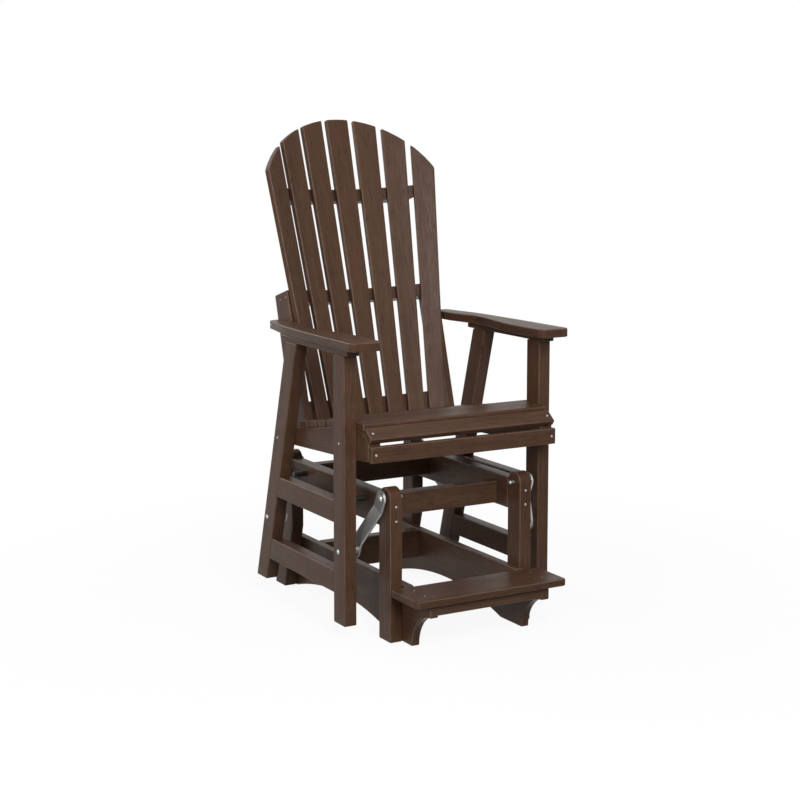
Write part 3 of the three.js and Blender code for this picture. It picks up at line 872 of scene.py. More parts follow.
@dataclass
class Base:
    """The standing base: four posts, rails, side boards with arched feet, and the footrest."""

    body: str = "base"
    half_width: float = 0.2286
    post_depth: float = 0.0635
    post_height: float = 0.426
    post_spacing: float = 0.5982
    bend_height: float = 0.1956
    rake: float = math.radians(15.5)
    side_rail: Span = (0.315, 0.4039)
    front_cross: Span = (0.320, 0.3835)
    rear_cross: Span = (0.3327, 0.4026)
    front_cross_setback: float = 0.0533
    rear_cross_setback: float = 0.0648
    low_cross_bottom: float = 0.0724
    low_cross_setback: float = 0.0496
    skid_top: float = 0.1588
    skid_step: float = 0.0178
    nib_front: float = 0.1473
    arch_inset: float = 0.0584
    arch_span: float = 0.5893
    arch_rise: float = 0.04445
    foot_front: float = 0.0495
    cove_radius: float = 0.1016
    footrest_half: float = 0.2388
    footrest_front: float = 0.1626
    footrest_thick: float = 0.0198
    footrest_top: float = 0.1562
    footrest_corner: float = 0.014
    footrest_rail_bottom: float = 0.1059
    footrest_rail_inset: float = 0.0013
    peg_radius: float = 0.008
    peg_length: float = 0.0381
    peg_drop: float = 0.028
    peg_rim: float = 0.0014
    peg_insets: Span = (0.0787, 0.0877)

    @property
    def inner(self) -> float:
        """The posts' inner faces."""
        return self.half_width - STOCK.thick

    @property
    def skid_inner(self) -> float:
        """The side boards' inner faces."""
        return self.inner - STOCK.middle

    @property
    def back(self) -> float:
        """The rear posts' rear faces above their bend."""
        return self.post_spacing + self.post_depth

    @property
    def footrest_bottom(self) -> float:
        """The underside of the footrest plank."""
        return self.footrest_top - self.footrest_thick

    def build(self) -> None:
        """Builds every board of the base, and its pegs."""
        self.posts()
        self.rails()
        fit_pair(self.skid(), "skid", self.body)
        self.footrest()
        self.pegs()

    def post(self, front: float, from_front: bool) -> Board:
        """A post: straight edges and a crown that is round as seen from the side.

        Args:
            front: where its front edge lies.
            from_front: whether Y is counted from the front posts.

        Returns:
            The board.
        """
        crown = self.post_depth / 2
        outline = [
            (front, 0.0),
            (front + self.post_depth, 0.0),
            *arc((front + crown, self.post_height - crown), crown, 0, 180, steps=16),
        ]
        return Board(outline, Plane.SIDE, self.inner, self.half_width, ALONG_Z, from_front=from_front)

    def posts(self) -> None:
        """Builds the upright front posts and the rear posts that rake back below their bend."""
        fit_pair(self.post(0.0, True), "front_post", self.body)
        rear = self.post(self.post_spacing, False)
        for word, side in SIDES.items():
            shape = rear.shape(1.0, None, Counter.next())
            self.rake_foot(shape)
            bmesh.ops.translate(shape, verts=shape.verts, vec=(0, FRONT, 0))
            flip_to(shape, side)
            fit_shape(shape, f"rear_post_{word}", self.body)

    def rake_foot(self, bm: bmesh.types.BMesh) -> None:
        """Leans the part of a rear post below its mitred bend backwards."""
        half = self.rake / 2
        corner = Vector((0, self.post_spacing, self.bend_height))
        normal = Vector((0, -math.sin(half), math.cos(half)))
        cut_across(bm, corner, normal)
        for vert in bm.verts:
            bend = self.bend_height + (vert.co.y - self.post_spacing) * math.tan(half)
            if vert.co.z < bend:
                vert.co.y += (bend - vert.co.z) * math.tan(self.rake)

    def cross(self, front: float, thick: float, span: Span, half: float) -> Board:
        """A rail across the base.

        Args:
            front: where its front face lies.
            thick: its thickness.
            span: its bottom and top.
            half: half the room that it fills.

        Returns:
            The board.
        """
        outline = rectangle(front, front + thick, *span)
        return Board(outline, Plane.SIDE, STOCK.seam - half, half - STOCK.seam, ALONG_X)

    def rails(self) -> None:
        """Builds the top side rails and three rails across."""
        outline = rectangle(self.post_depth + STOCK.seam, self.post_spacing - STOCK.seam, *self.side_rail)
        fit_pair(Board(outline, Plane.SIDE, self.inner, self.half_width, ALONG_Y), "top_side_rail", self.body)
        thick, spacing = STOCK.thick, self.post_spacing
        low_span = (self.low_cross_bottom, self.skid_top)
        crosses = {
            "front_upper": (self.post_depth + self.front_cross_setback, self.front_cross, self.inner),
            "rear_upper": (spacing - self.rear_cross_setback - thick, self.rear_cross, self.inner),
            "rear_lower": (spacing - self.low_cross_setback - thick, low_span, self.skid_inner),
        }
        for word, (front, span, half) in crosses.items():
            fit_board(self.cross(front, thick, span, half), f"{word}_cross_rail", self.body)

    def skid(self) -> Board:
        """A low side board: an arched foot, a cove under the footrest and a step behind its plank."""
        seam, tangent = STOCK.seam, math.tan(self.rake)
        foot = self.back + (self.bend_height + self.post_depth * math.tan(self.rake / 2)) * tangent
        radius = (self.arch_span / 2) ** 2 / (2 * self.arch_rise) + self.arch_rise / 2
        half_angle = math.degrees(math.asin(self.arch_span / 2 / radius))
        middle = (self.arch_inset + self.arch_span / 2, self.arch_rise - radius)
        cove = (-self.foot_front - self.cove_radius, 0.0)
        cove_reach = self.cove_radius + self.foot_front - self.nib_front
        cove_end = math.degrees(math.acos(cove_reach / self.cove_radius))
        under = self.footrest_bottom - seam
        outline = [
            *arc(middle, radius, 90 + half_angle, 90 - half_angle, steps=20),
            (foot - seam, 0.0),
            (foot - seam - self.skid_top * tangent, self.skid_top),
            (-self.skid_step, self.skid_top),
            (-self.skid_step, under),
            (-self.nib_front, under),
            *arc(cove, self.cove_radius, cove_end, 0),
        ]
        return Board(outline, Plane.SIDE, self.skid_inner, self.inner - seam, ALONG_Y)

    def footrest(self) -> None:
        """Builds the footrest's plank and the rail under its front."""
        half, bottom, top = self.footrest_half, self.footrest_bottom, self.footrest_top
        plan = rectangle(-half, half, -self.footrest_front, -self.skid_step - STOCK.seam)
        plank = Board(plan, Plane.PLAN, bottom, top, ALONG_X, corner=self.footrest_corner)
        fit_board(plank, "footrest_plank", self.body)
        span = (self.footrest_rail_bottom, bottom - STOCK.seam)
        rail = self.cross(-self.nib_front + self.footrest_rail_inset, STOCK.middle, span, self.skid_inner)
        fit_board(rail, "footrest_cross_rail", self.body)

    def pegs(self) -> None:
        """Builds the travel stop pegs on the side rails' outer faces."""
        places = (self.post_depth + self.peg_insets[0], self.post_spacing - self.peg_insets[1])
        for word, side in SIDES.items():
            bm = bmesh.new()
            for y in places:
                centre = Vector((0, y + FRONT, self.side_rail[1] - self.peg_drop))
                ends = (self.half_width - STOCK.seam, self.half_width + self.peg_length)
                disc(bm, ends, self.peg_radius, centre, self.peg_rim)
            dressed_metal(bm, f"stop_pegs_{word}", side, self.body, finish=Finish.BLACK_STEEL)


def dressed_metal(
    bm: bmesh.types.BMesh, name: str, side: float, body: str, *nodes: str, finish: Finish = Finish.STEEL
) -> bpy.types.Object:
    """Finishes a metal shape and joins it to its body.

    Args:
        bm: the shape, drawn on the right side.
        name: the piece's name.
        side: 1 as drawn, or -1 for its mirror image.
        body: the body it rides on.
        *nodes: the CAD nodes that it replaces.
        finish: its finish.

    Returns:
        The new piece.
    """
    bmesh.ops.remove_doubles(bm, verts=bm.verts, dist=WELD)
    bmesh.ops.recalc_face_normals(bm, faces=bm.faces)
    mark_board(bm, ALONG_X, Counter.next())
    mark_edges(bm)
    flip_to(bm, side)
    piece = kept(bm, name, finish)
    piece.data.set_sharp_from_angle(angle=STOCK.metal_crease)
    return settled(piece, body, finish, *nodes)


# The swing links


@dataclass
class Linkage:
    """Four flat steel links that step outwards, and the bolts they turn on."""

    base: Base
    frame_outer: float = 0.334
    length: float = 0.1661
    width: float = 0.04445
    thick: float = 0.0056
    front_lean: float = math.radians(24.6)
    rear_lean: float = math.radians(28)
    step_start: float = 0.035
    step_end: float = 0.135
    bend_reach: float = 0.005
    bend_steps: int = 6
    pivot_height: float = 0.3962
    hole: float = 0.00531
    open_play: float = 0.0072
    bolt: float = 0.00476
    upper_spacer: float = 0.0076
    lower_spacer: float = 0.0131
    spacer: float = 0.008
    washer: float = 0.015
    washer_thick: float = 0.002
    cap: float = 0.006
    cap_length: float = 0.016
    cap_round: float = 0.003
    head: float = 0.0095
    head_height: float = 0.005
    leg_head: float = 0.0065
    leg_head_height: float = 0.003
    rim: float = 0.0008

    @property
    def frame_inner(self) -> float:
        """The inner faces of the seat frame's legs."""
        return self.frame_outer - STOCK.thick

    @property
    def upper_x(self) -> float:
        """The middle of a link's upper tab."""
        return self.base.half_width + self.upper_spacer + self.thick / 2

    @property
    def lower_x(self) -> float:
        """The middle of a link's lower tab."""
        return self.frame_inner - self.lower_spacer - self.thick / 2

    def pivot(self, rear: bool) -> Vector:
        """An upper pivot, as a vector whose X is zero."""
        y = self.base.post_depth / 2 + (self.base.post_spacing if rear else 0.0)
        return Vector((0, y + FRONT, self.pivot_height))

    def low_pivot(self, rear: bool) -> Vector:
        """A lower pivot at rest, as a vector whose X is zero."""
        lean = -self.rear_lean if rear else self.front_lean
        return self.pivot(rear) + Vector((0, math.sin(lean), -math.cos(lean))) * self.length

    def build(self) -> None:
        """Builds the links and the bolts of both ends."""
        for word, side in SIDES.items():
            for row, rear in (("front", False), ("rear", True)):
                self.link(f"{row}_link_{word}", f"swing_{row}_{word}", side, rear)
                self.upper_bolt(f"{row}_upper_bolt_{word}", side, self.pivot(rear))
                self.lower_bolt(f"{row}_lower_bolt_{word}", side, self.low_pivot(rear))

    def path(self, down: float) -> tuple[float, float]:
        """The middle line of a link.

        Args:
            down: the distance below the upper pivot, along the straight link.

        Returns:
            The place along X, and the slope of the line there.
        """
        full = (self.lower_x - self.upper_x) / (self.step_end - self.step_start)
        reach = self.bend_reach

        def ramp(past: float) -> tuple[float, float]:
            """The height and slope of a straight rise that starts with a round bend at zero."""
            if past <= -reach:
                return 0.0, 0.0
            if past >= reach:
                return past, 1.0
            return (past + reach) ** 2 / (4 * reach), (past + reach) / (2 * reach)

        first, first_slope = ramp(down - self.step_start)
        last, last_slope = ramp(down - self.step_end)
        return self.upper_x + full * (first - last), full * (first_slope - last_slope)

    def link(self, node: str, body: str, side: float, rear: bool) -> None:
        """Builds one link: two round eyes joined by a stepped flat bar.

        Args:
            node: the CAD node that it replaces.
            body: the body that it rides on.
            side: 1 for the right side, -1 for the left.
            rear: whether it is a rear link, whose lower eye has play.
        """
        bm = bmesh.new()
        end = self.width / 2
        lower_hole = self.hole + (self.open_play if rear else 0.0)
        spread = 2 * self.bend_reach / self.bend_steps
        bends = (self.step_start - self.bend_reach, self.step_end - self.bend_reach)
        rows = [bend + spread * step for bend in bends for step in range(self.bend_steps + 1)]
        self.eye(bm, 0.0, self.hole, -rows[0], 1.0)
        self.eye(bm, -self.length, lower_hole, -rows[-1], -1.0)
        for above, below in zip(rows, rows[1:]):
            corners = [(-end, -above), (end, -above), (end, -below), (-end, -below)]
            bm.faces.new([bm.verts.new((0, y, z)) for y, z in corners])
        bmesh.ops.remove_doubles(bm, verts=bm.verts, dist=WELD)
        bmesh.ops.recalc_face_normals(bm, faces=bm.faces)
        for face in bm.faces:
            if face.normal.x < 0:
                face.normal_flip()
        mark_board(bm, ALONG_Z, Counter.next())
        grown_part = bmesh.ops.extrude_face_region(bm, geom=list(bm.faces), use_keep_orig=True)["geom"]
        outer = {item for item in grown_part if isinstance(item, bmesh.types.BMVert)}
        for vert in bm.verts:
            x, slope = self.path(-vert.co.z)
            normal = Vector((1.0, 0.0, slope)).normalized() * (self.thick / 2)
            vert.co = Vector((x, vert.co.y, vert.co.z)) + (normal if vert in outer else -normal)
        bmesh.ops.recalc_face_normals(bm, faces=bm.faces)
        tidy_edges(bm, self.rim, 2)
        mark_edges(bm)
        lean = -self.rear_lean if rear else self.front_lean
        place = Matrix.Translation(self.pivot(rear)) @ Matrix.Rotation(lean, 4, "X")
        bmesh.ops.transform(bm, matrix=place, verts=bm.verts)
        flip_to(bm, side)
        settled(kept(bm, f"{node}_bar", Finish.STEEL), body, Finish.STEEL, node)

    def eye(self, bm: bmesh.types.BMesh, z: float, hole: float, cut: float, up: float) -> None:
        """Adds the flat end of a link round a hole, up to a straight cut across the bar.

        Args:
            bm: the flat shape.
            z: the hole's middle.
            hole: its radius.
            cut: where the bar starts.
            up: 1 where the end is above the hole, -1 below.
        """
        end = self.width / 2
        outer = [(end, cut), *arc((0.0, z), end, 0, 180 * up, steps=20), (-end, cut)]
        inner = arc((0.0, z), hole, 0, 360, steps=24)[:-1]
        edges = []
        for loop in (outer, inner):
            verts = [bm.verts.new((0, y, height)) for y, height in loop]
            edges += [bm.edges.new((verts[i - 1], verts[i])) for i in range(len(verts))]
        bmesh.ops.triangle_fill(bm, use_beauty=True, edges=edges)

    def upper_bolt(self, node: str, side: float, at: Vector) -> None:
        """Builds a bolt through a base post: round cap nut inside, spacer and domed head outside."""
        seam = STOCK.seam
        cap = self.base.inner - seam - self.cap_length
        inner, outer = self.upper_x - self.thick / 2, self.upper_x + self.thick / 2 + seam
        bm = bmesh.new()
        disc(bm, (cap, self.base.inner - seam), self.cap, at, self.cap_round)
        disc(bm, (cap + self.cap_length / 2, outer + self.head_height / 2), self.bolt, at)
        disc(bm, (self.base.half_width + seam, inner - seam), self.spacer, at)
        dome(bm, outer, self.head, self.head_height, at)
        dressed_metal(bm, f"{node}_set", side, self.base.body, node)

    def lower_bolt(self, node: str, side: float, at: Vector) -> None:
        """Builds a bolt through a leg: washer and low head inside, spacer, small domed head outside."""
        seam = STOCK.seam
        inner, outer = self.lower_x - self.thick / 2, self.lower_x + self.thick / 2
        washer = inner - seam - self.washer_thick
        bm = bmesh.new()
        dome(bm, washer, self.leg_head, -self.leg_head_height, at)
        disc(bm, (washer, inner - seam), self.washer, at)
        disc(bm, (washer - self.leg_head_height / 2, self.frame_outer), self.bolt, at)
        disc(bm, (outer + seam, self.frame_inner - seam), self.washer, at)
        dome(bm, self.frame_outer + seam, self.leg_head, self.leg_head_height, at)
        dressed_metal(bm, f"{node}_set", side, "seat_frame", node)


# The swinging seat frame


@dataclass
class SeatFrame:
    """The frame that swings: legs and rails of both sides, cleats and arms."""

    linkage: Linkage
    body: str = "seat_frame"
    leg_width: float = 0.0635
    leg_top: float = 0.7861
    front_leg_bottom: float = 0.0434
    front_leg_inset: float = 0.0354
    rear_leg_bottom: float = 0.0597
    rear_rake: float = math.radians(15.9)
    rear_leg_foot: float = 0.5601
    middle_rail: Span = (0.3213, 0.3835)
    low_rail: Span = (0.1257, 0.1892)
    cleat_height: float = 0.0178
    cleat_ends: Span = (0.0475, 0.4496)
    arm_thick: float = 0.0246
    arm_front: float = -0.0089
    arm_length: float = 0.6033
    arm_inner: float = 0.2502
    arm_width: float = 0.0991
    arm_corner: float = 0.014
    stile_outer: float = 0.2578
    front_shares: tuple[Point, ...] = ((0.115, 0), (0.91, 0))
    outer_shares: tuple[Point, ...] = (
        (1, 0.023),
        (0.96, 0.35),
        (0.87, 0.66),
        (0.84, 0.735),
        (0.765, 0.81),
        (0.62, 0.93),
        (0.576, 0.979),
    )
    inner_shares: tuple[Point, ...] = (
        (0.2, 0.735),
        (0.345, 0.655),
        (0.3, 0.56),
        (0.19, 0.46),
        (0.09, 0.37),
        (0, 0.25),
        (0.025, 0.032),
    )
    stile_share: float = 0.84

    @property
    def outer(self) -> float:
        """The outer faces of the legs."""
        return self.linkage.frame_outer

    @property
    def inner(self) -> float:
        """The inner faces of the legs."""
        return self.linkage.frame_inner

    @property
    def front_leg_front(self) -> float:
        """The front face of the front legs."""
        return self.linkage.low_pivot(False).y - FRONT - self.front_leg_inset

    def rear_leg_at(self, z: float) -> float:
        """The front edge of a rear leg at a height."""
        return self.rear_leg_foot - (z - self.rear_leg_bottom) * math.tan(self.rear_rake)

    def side_board(self, outline: list[Point], grain: Vector) -> Board:
        """A board in the plane of a side of the frame."""
        return Board(outline, Plane.SIDE, self.inner, self.outer, grain)

    def build(self) -> None:
        """Builds legs, rails, cleats and arms."""
        top = self.leg_top - STOCK.seam
        front, back = self.front_leg_front, self.front_leg_front + self.leg_width
        front_leg = rectangle(front, back, self.front_leg_bottom, top)
        cleat_top = self.leg_top + self.cleat_height
        cleat = rectangle(*self.cleat_ends, self.leg_top, cleat_top - STOCK.seam)
        boards = {
            "front_leg": self.side_board(front_leg, ALONG_Z),
            "rear_leg": self.rear_leg(top),
            "middle_leg_rail": self.leg_rail(*self.middle_rail),
            "low_leg_rail": self.leg_rail(*self.low_rail),
            "arm_cleat": self.side_board(cleat, ALONG_Y),
            "arm": self.arm(cleat_top),
        }
        for node, board in boards.items():
            fit_pair(board, node, self.body)

    def rear_leg(self, top: float) -> Board:
        """A raked rear leg, cut level at both ends."""
        depth = self.leg_width / math.cos(self.rear_rake)
        low = self.rear_leg_bottom
        outline = [
            (self.rear_leg_at(low), low),
            (self.rear_leg_at(low) + depth, low),
            (self.rear_leg_at(top) + depth, top),
            (self.rear_leg_at(top), top),
        ]
        return self.side_board(outline, Vector((0, -math.sin(self.rear_rake), math.cos(self.rear_rake))))

    def leg_rail(self, bottom: float, top: float) -> Board:
        """A rail between the legs of one side, whose rear end meets the raked leg."""
        front = self.front_leg_front + self.leg_width + STOCK.seam
        outline = [
            (front, bottom),
            (self.rear_leg_at(bottom) - STOCK.seam, bottom),
            (self.rear_leg_at(top) - STOCK.seam, top),
            (front, top),
        ]
        return self.side_board(outline, ALONG_Y)

    def place_on_arm(self, share: Point) -> Point:
        """A place on the arm's plan from its shares of width and length."""
        return (self.arm_inner + self.arm_width * share[0], self.arm_front + self.arm_length * share[1])

    def arm(self, bottom: float) -> Board:
        """A wide shaped arm that narrows behind, along the back's stile."""
        along_stile = self.stile_outer + STOCK.seam
        rear = self.arm_front + self.arm_length
        outline = [
            *map(self.place_on_arm, self.front_shares),
            *map(self.place_on_arm, self.outer_shares),
            (along_stile, rear),
            (along_stile, self.arm_front + self.arm_length * self.stile_share),
            *map(self.place_on_arm, self.inner_shares),
        ]
        return Board(outline, Plane.PLAN, bottom, bottom + self.arm_thick, ALONG_Y, corner=self.arm_corner)


# The seat


def slat_row_group() -> bpy.types.NodeTree:
    """Slats laid one after another on side rails that curve upwards towards the front.

    Returns:
        A geometry tree that lays copies of one slat along the row.
    """
    inputs = {"Slat": GEOMETRY, "Count": INT, "Seed": INT, "Rear Edge": VECTOR, "Finish": MATERIAL}
    inputs.update(dict.fromkeys(("Pitch", "Rear Slope", "Slope Step"), FLOAT))
    tree = Tree.group("slat_row", "GeometryNodeTree", inputs, {"Row": GEOMETRY})
    line = tree.add("GeometryNodeMeshLine", {"Count": tree.given("Count"), "Offset": (0, 0, 0)})
    index = tree.wire(tree.add("GeometryNodeInputIndex"))
    slope = tree.given("Rear Slope") + index * tree.given("Slope Step")
    rise = tree.math("TANGENT", slope) * tree.given("Pitch")
    summed = tree.add("GeometryNodeAccumulateField", {0: rise}, data_type="FLOAT")
    _, edge_y, edge_z = tree.parts(tree.given("Rear Edge"))
    place = tree.vector(
        0.0,
        edge_y - (index + 0.5) * tree.given("Pitch"),
        edge_z + tree.wire(summed, "Trailing") + rise * 0.5,
    )
    points = tree.add("GeometryNodeSetPosition", {"Geometry": tree.wire(line), "Position": place})
    turn = tree.vector(slope * -1.0, 0.0, 0.0)
    copies = tree.add(
        "GeometryNodeInstanceOnPoints",
        {"Points": tree.wire(points), "Instance": tree.given("Slat"), "Rotation": turn},
    )
    return tree.result(Row=tree.painted(real_copies(tree, tree.wire(copies))))


def real_copies(tree: Tree, copies: Wire) -> Wire:
    """Gives each copy its own grain and makes the copies real.

    Args:
        tree: the geometry tree, with a Seed input.
        copies: the instances.

    Returns:
        The real geometry.
    """
    low = tuple(-reach for reach in LOT_REACH)
    inputs = {0: low, 1: LOT_REACH, "Seed": tree.given("Seed")}
    lot = tree.wire(tree.add("FunctionNodeRandomValue", inputs, data_type="FLOAT_VECTOR"))
    marked = tree.stored(copies, "lot", lot, "FLOAT_VECTOR", "INSTANCE")
    real = tree.wire(tree.add("GeometryNodeRealizeInstances", {"Geometry": marked}))
    moved = tree.vector_math("ADD", *(tree.named(name, "FLOAT_VECTOR") for name in ("board", "lot")))
    return tree.stored(real, "board", moved, "FLOAT_VECTOR", "POINT")


@dataclass
class Seat:
    """The seat: curved side rails, five slats, a deep front slat, a nose slat and an apron."""

    seat_frame: SeatFrame
    rail_front: float = -0.0013
    rail_back: float = 0.505
    rear_height: float = 0.5355
    rear_slope: float = math.radians(8.6)
    slope_step: float = math.radians(1.0)
    front_fall: float = math.radians(3.1)
    back_edge: float = 0.4135
    pitch: float = 0.0559
    gap: float = 0.0076
    count: int = 5
    front_depth: float = 0.103
    front_thick: float = 0.0222
    front_corner: float = 0.008
    nose_run: float = 0.033
    nose_rise: float = 0.0254
    nose_width: float = 0.044
    nose_overhang: float = 0.0044
    apron_top: float = 0.5495
    apron_height: float = 0.045
    rail_bottom: tuple[float, float, float] = (0.5062, 0.4928, 0.4744)
    rail_corner: float = 0.004
    seed: int = 4

    @property
    def reach(self) -> float:
        """Half the length of everything that crosses the seat."""
        return self.seat_frame.inner - STOCK.seam

    def line(self) -> list[Vector]:
        """The seat's top line from its rear edge, one stretch for each slat."""
        stations = [Vector((self.back_edge, self.rear_height))]
        for index in range(self.count):
            rise = self.pitch * math.tan(self.rear_slope + index * self.slope_step)
            stations.append(stations[-1] + Vector((-self.pitch, rise)))
        return stations

    def front_top(self) -> Vector:
        """The front end of the top line, above the nose."""
        last = self.line()[-1]
        run = last.x - (self.rail_front + self.nose_run)
        return Vector((self.rail_front + self.nose_run, last.y - run * math.tan(self.front_fall)))

    def nose(self) -> tuple[Vector, Vector]:
        """The upper and lower ends of the rails' sloping noses."""
        top = self.front_top()
        return top, Vector((self.rail_front, top.y - self.nose_rise))

    def build(self) -> None:
        """Builds the side rails and everything that lies across them."""
        body = self.seat_frame.body
        fit_pair(self.side_rail(), "seat_side_rail", body)
        self.slat_row(body)
        start = self.line()[-1]
        along = (self.front_top() - start).normalized()
        back = start + along * (self.gap / 2)
        ahead = back + along * self.front_depth
        deep = self.across(back, ahead, self.front_depth, self.front_thick, self.front_corner)
        fit_board(deep, "front_seat_slat", body)
        top, foot = self.nose()
        along = (foot - top).normalized()
        end = foot + along * self.nose_overhang
        nose = self.across(end - along * self.nose_width, end, self.nose_width, STOCK.thin)
        fit_board(nose, "nose_slat", body)
        front = self.rail_front - STOCK.seam
        outline = rectangle(front - STOCK.thin, front, self.apron_top - self.apron_height, self.apron_top)
        fit_board(Board(outline, Plane.SIDE, -self.reach, self.reach, ALONG_X), "seat_apron", body)

    def side_rail(self) -> Board:
        """A side rail, dished below and curved on top."""
        middle = (self.rail_front + self.rail_back) / 2
        front, belly, back = self.rail_bottom
        drop = (self.rail_back - self.back_edge) * math.tan(self.rear_slope)
        outline = [
            (self.rail_front, front),
            ((self.rail_front + middle) / 2, (front + belly) / 2 - self.rail_corner),
            (middle, belly - self.rail_corner),
            (self.rail_back, back),
            (self.rail_back, self.rear_height - drop),
            *[tuple(station) for station in self.line()],
            *[tuple(end) for end in self.nose()],
        ]
        low = self.seat_frame.stile_outer + STOCK.seam
        return Board(outline, Plane.SIDE, low, self.reach, ALONG_Y)

    def across(self, back: Vector, front: Vector, width: float, thick: float, corner: float = 0.0) -> Board:
        """A slat across the seat, on the stretch between two places of the side rails.

        Args:
            back: the rear place.
            front: the front place.
            width: the slat's width along the stretch.
            thick: its thickness.
            corner: the rounding of its long edges, where it is more than usual.

        Returns:
            The board.
        """
        along = (front - back).normalized()
        up = above(along)
        middle = (back + front) / 2
        corners = [(-0.5, 0), (0.5, 0), (0.5, 1), (-0.5, 1)]
        outline = [
            tuple(middle + along * (run * width) + up * (STOCK.seam + rise * thick)) for run, rise in corners
        ]
        return Board(outline, Plane.SIDE, -self.reach, self.reach, ALONG_X, corner=corner)

    def slat_row(self, body: str) -> None:
        """Builds the five like slats as one row that follows the side rails."""
        width = self.pitch - self.gap
        outline = rectangle(-width / 2, width / 2, STOCK.seam, STOCK.seam + STOCK.thin)
        slat = Board(outline, Plane.SIDE, -self.reach, self.reach, ALONG_X, from_front=False)
        row = kept(slat.shape(), "seat_slat_row", Finish.LUMBER)
        sizes = {
            "Count": self.count,
            "Pitch": self.pitch,
            "Rear Slope": self.rear_slope,
            "Slope Step": self.slope_step,
            "Rear Edge": (0.0, self.back_edge + FRONT, self.rear_height),
            "Seed": self.seed,
            "Finish": Palette.made[Finish.LUMBER],
        }
        grown(row, slat_row_group(), sizes)
        settled(row, body, Finish.LUMBER, *[f"seat_slat_{index + 1}" for index in range(self.count)])


# The fan back


def fan_group(rounds: int = 5) -> bpy.types.NodeTree:
    """A fan of tapered slats on a hollow round contour, cut to one arch at the top.

    Args:
        rounds: how often the meeting of a slat's line with the arch is refined.

    Returns:
        A geometry tree that turns one flat slat into the whole fan.
    """
    inputs = {"Slat": GEOMETRY, "Count": INT, "Seed": INT, "Foot": VECTOR, "Finish": MATERIAL}
    lengths = ("Slat Width", "Height", "Bottom Width", "Top Width", "Bottom Spacing", "Top Spacing")
    inputs.update(dict.fromkeys((*lengths, "Arch Radius", "Contour Radius", "Lean"), FLOAT))
    tree = Tree.group("fan_back", "GeometryNodeTree", inputs, {"Fan": GEOMETRY})
    height, contour, arch = tree.given("Height"), tree.given("Contour Radius"), tree.given("Arch Radius")
    line = tree.add("GeometryNodeMeshLine", {"Count": tree.given("Count"), "Offset": (0, 0, 0)})
    row = {"Points": tree.wire(line), "Instance": tree.given("Slat")}
    copies = tree.wire(tree.add("GeometryNodeInstanceOnPoints", row))
    index = tree.wire(tree.add("GeometryNodeInputIndex"))
    number = index - (tree.given("Count") - 1.0) * 0.5
    real = real_copies(tree, tree.stored(copies, "place", number, "FLOAT", "INSTANCE"))
    place = tree.named("place", "FLOAT")
    x, y, z = tree.parts(tree.wire(tree.add("GeometryNodeInputPosition")))
    share = x / (tree.given("Slat Width") * 0.5)
    portion = y / height

    def blended(low: str, high: str, v: Wire) -> Wire:
        """A size that grows evenly from the bottom to the top."""
        return tree.given(low) + (tree.given(high) - tree.given(low)) * (v / height)

    def lateral(v: Wire) -> Wire:
        """The place along the contour at a height."""
        middle = place * blended("Bottom Spacing", "Top Spacing", v)
        return middle + share * blended("Bottom Width", "Top Width", v) * 0.5

    top = height
    for _ in range(rounds):
        reach = contour * tree.math("SINE", lateral(top) / contour)
        top = height - arch + tree.math("SQRT", arch * arch - reach * reach)
    rise = portion * top
    angle = lateral(rise) / contour
    radius = contour - z
    side, depth = radius * tree.math("SINE", angle), radius * tree.math("COSINE", angle) - contour
    bent = {"Geometry": real, "Position": tree.vector(side, depth, rise)}
    leaned = {
        "Geometry": tree.wire(tree.add("GeometryNodeSetPosition", bent)),
        "Translation": tree.given("Foot"),
        "Rotation": tree.vector(tree.given("Lean") * -1.0, 0.0, 0.0),
    }
    return tree.result(Fan=tree.painted(tree.wire(tree.add("GeometryNodeTransform", leaned))))


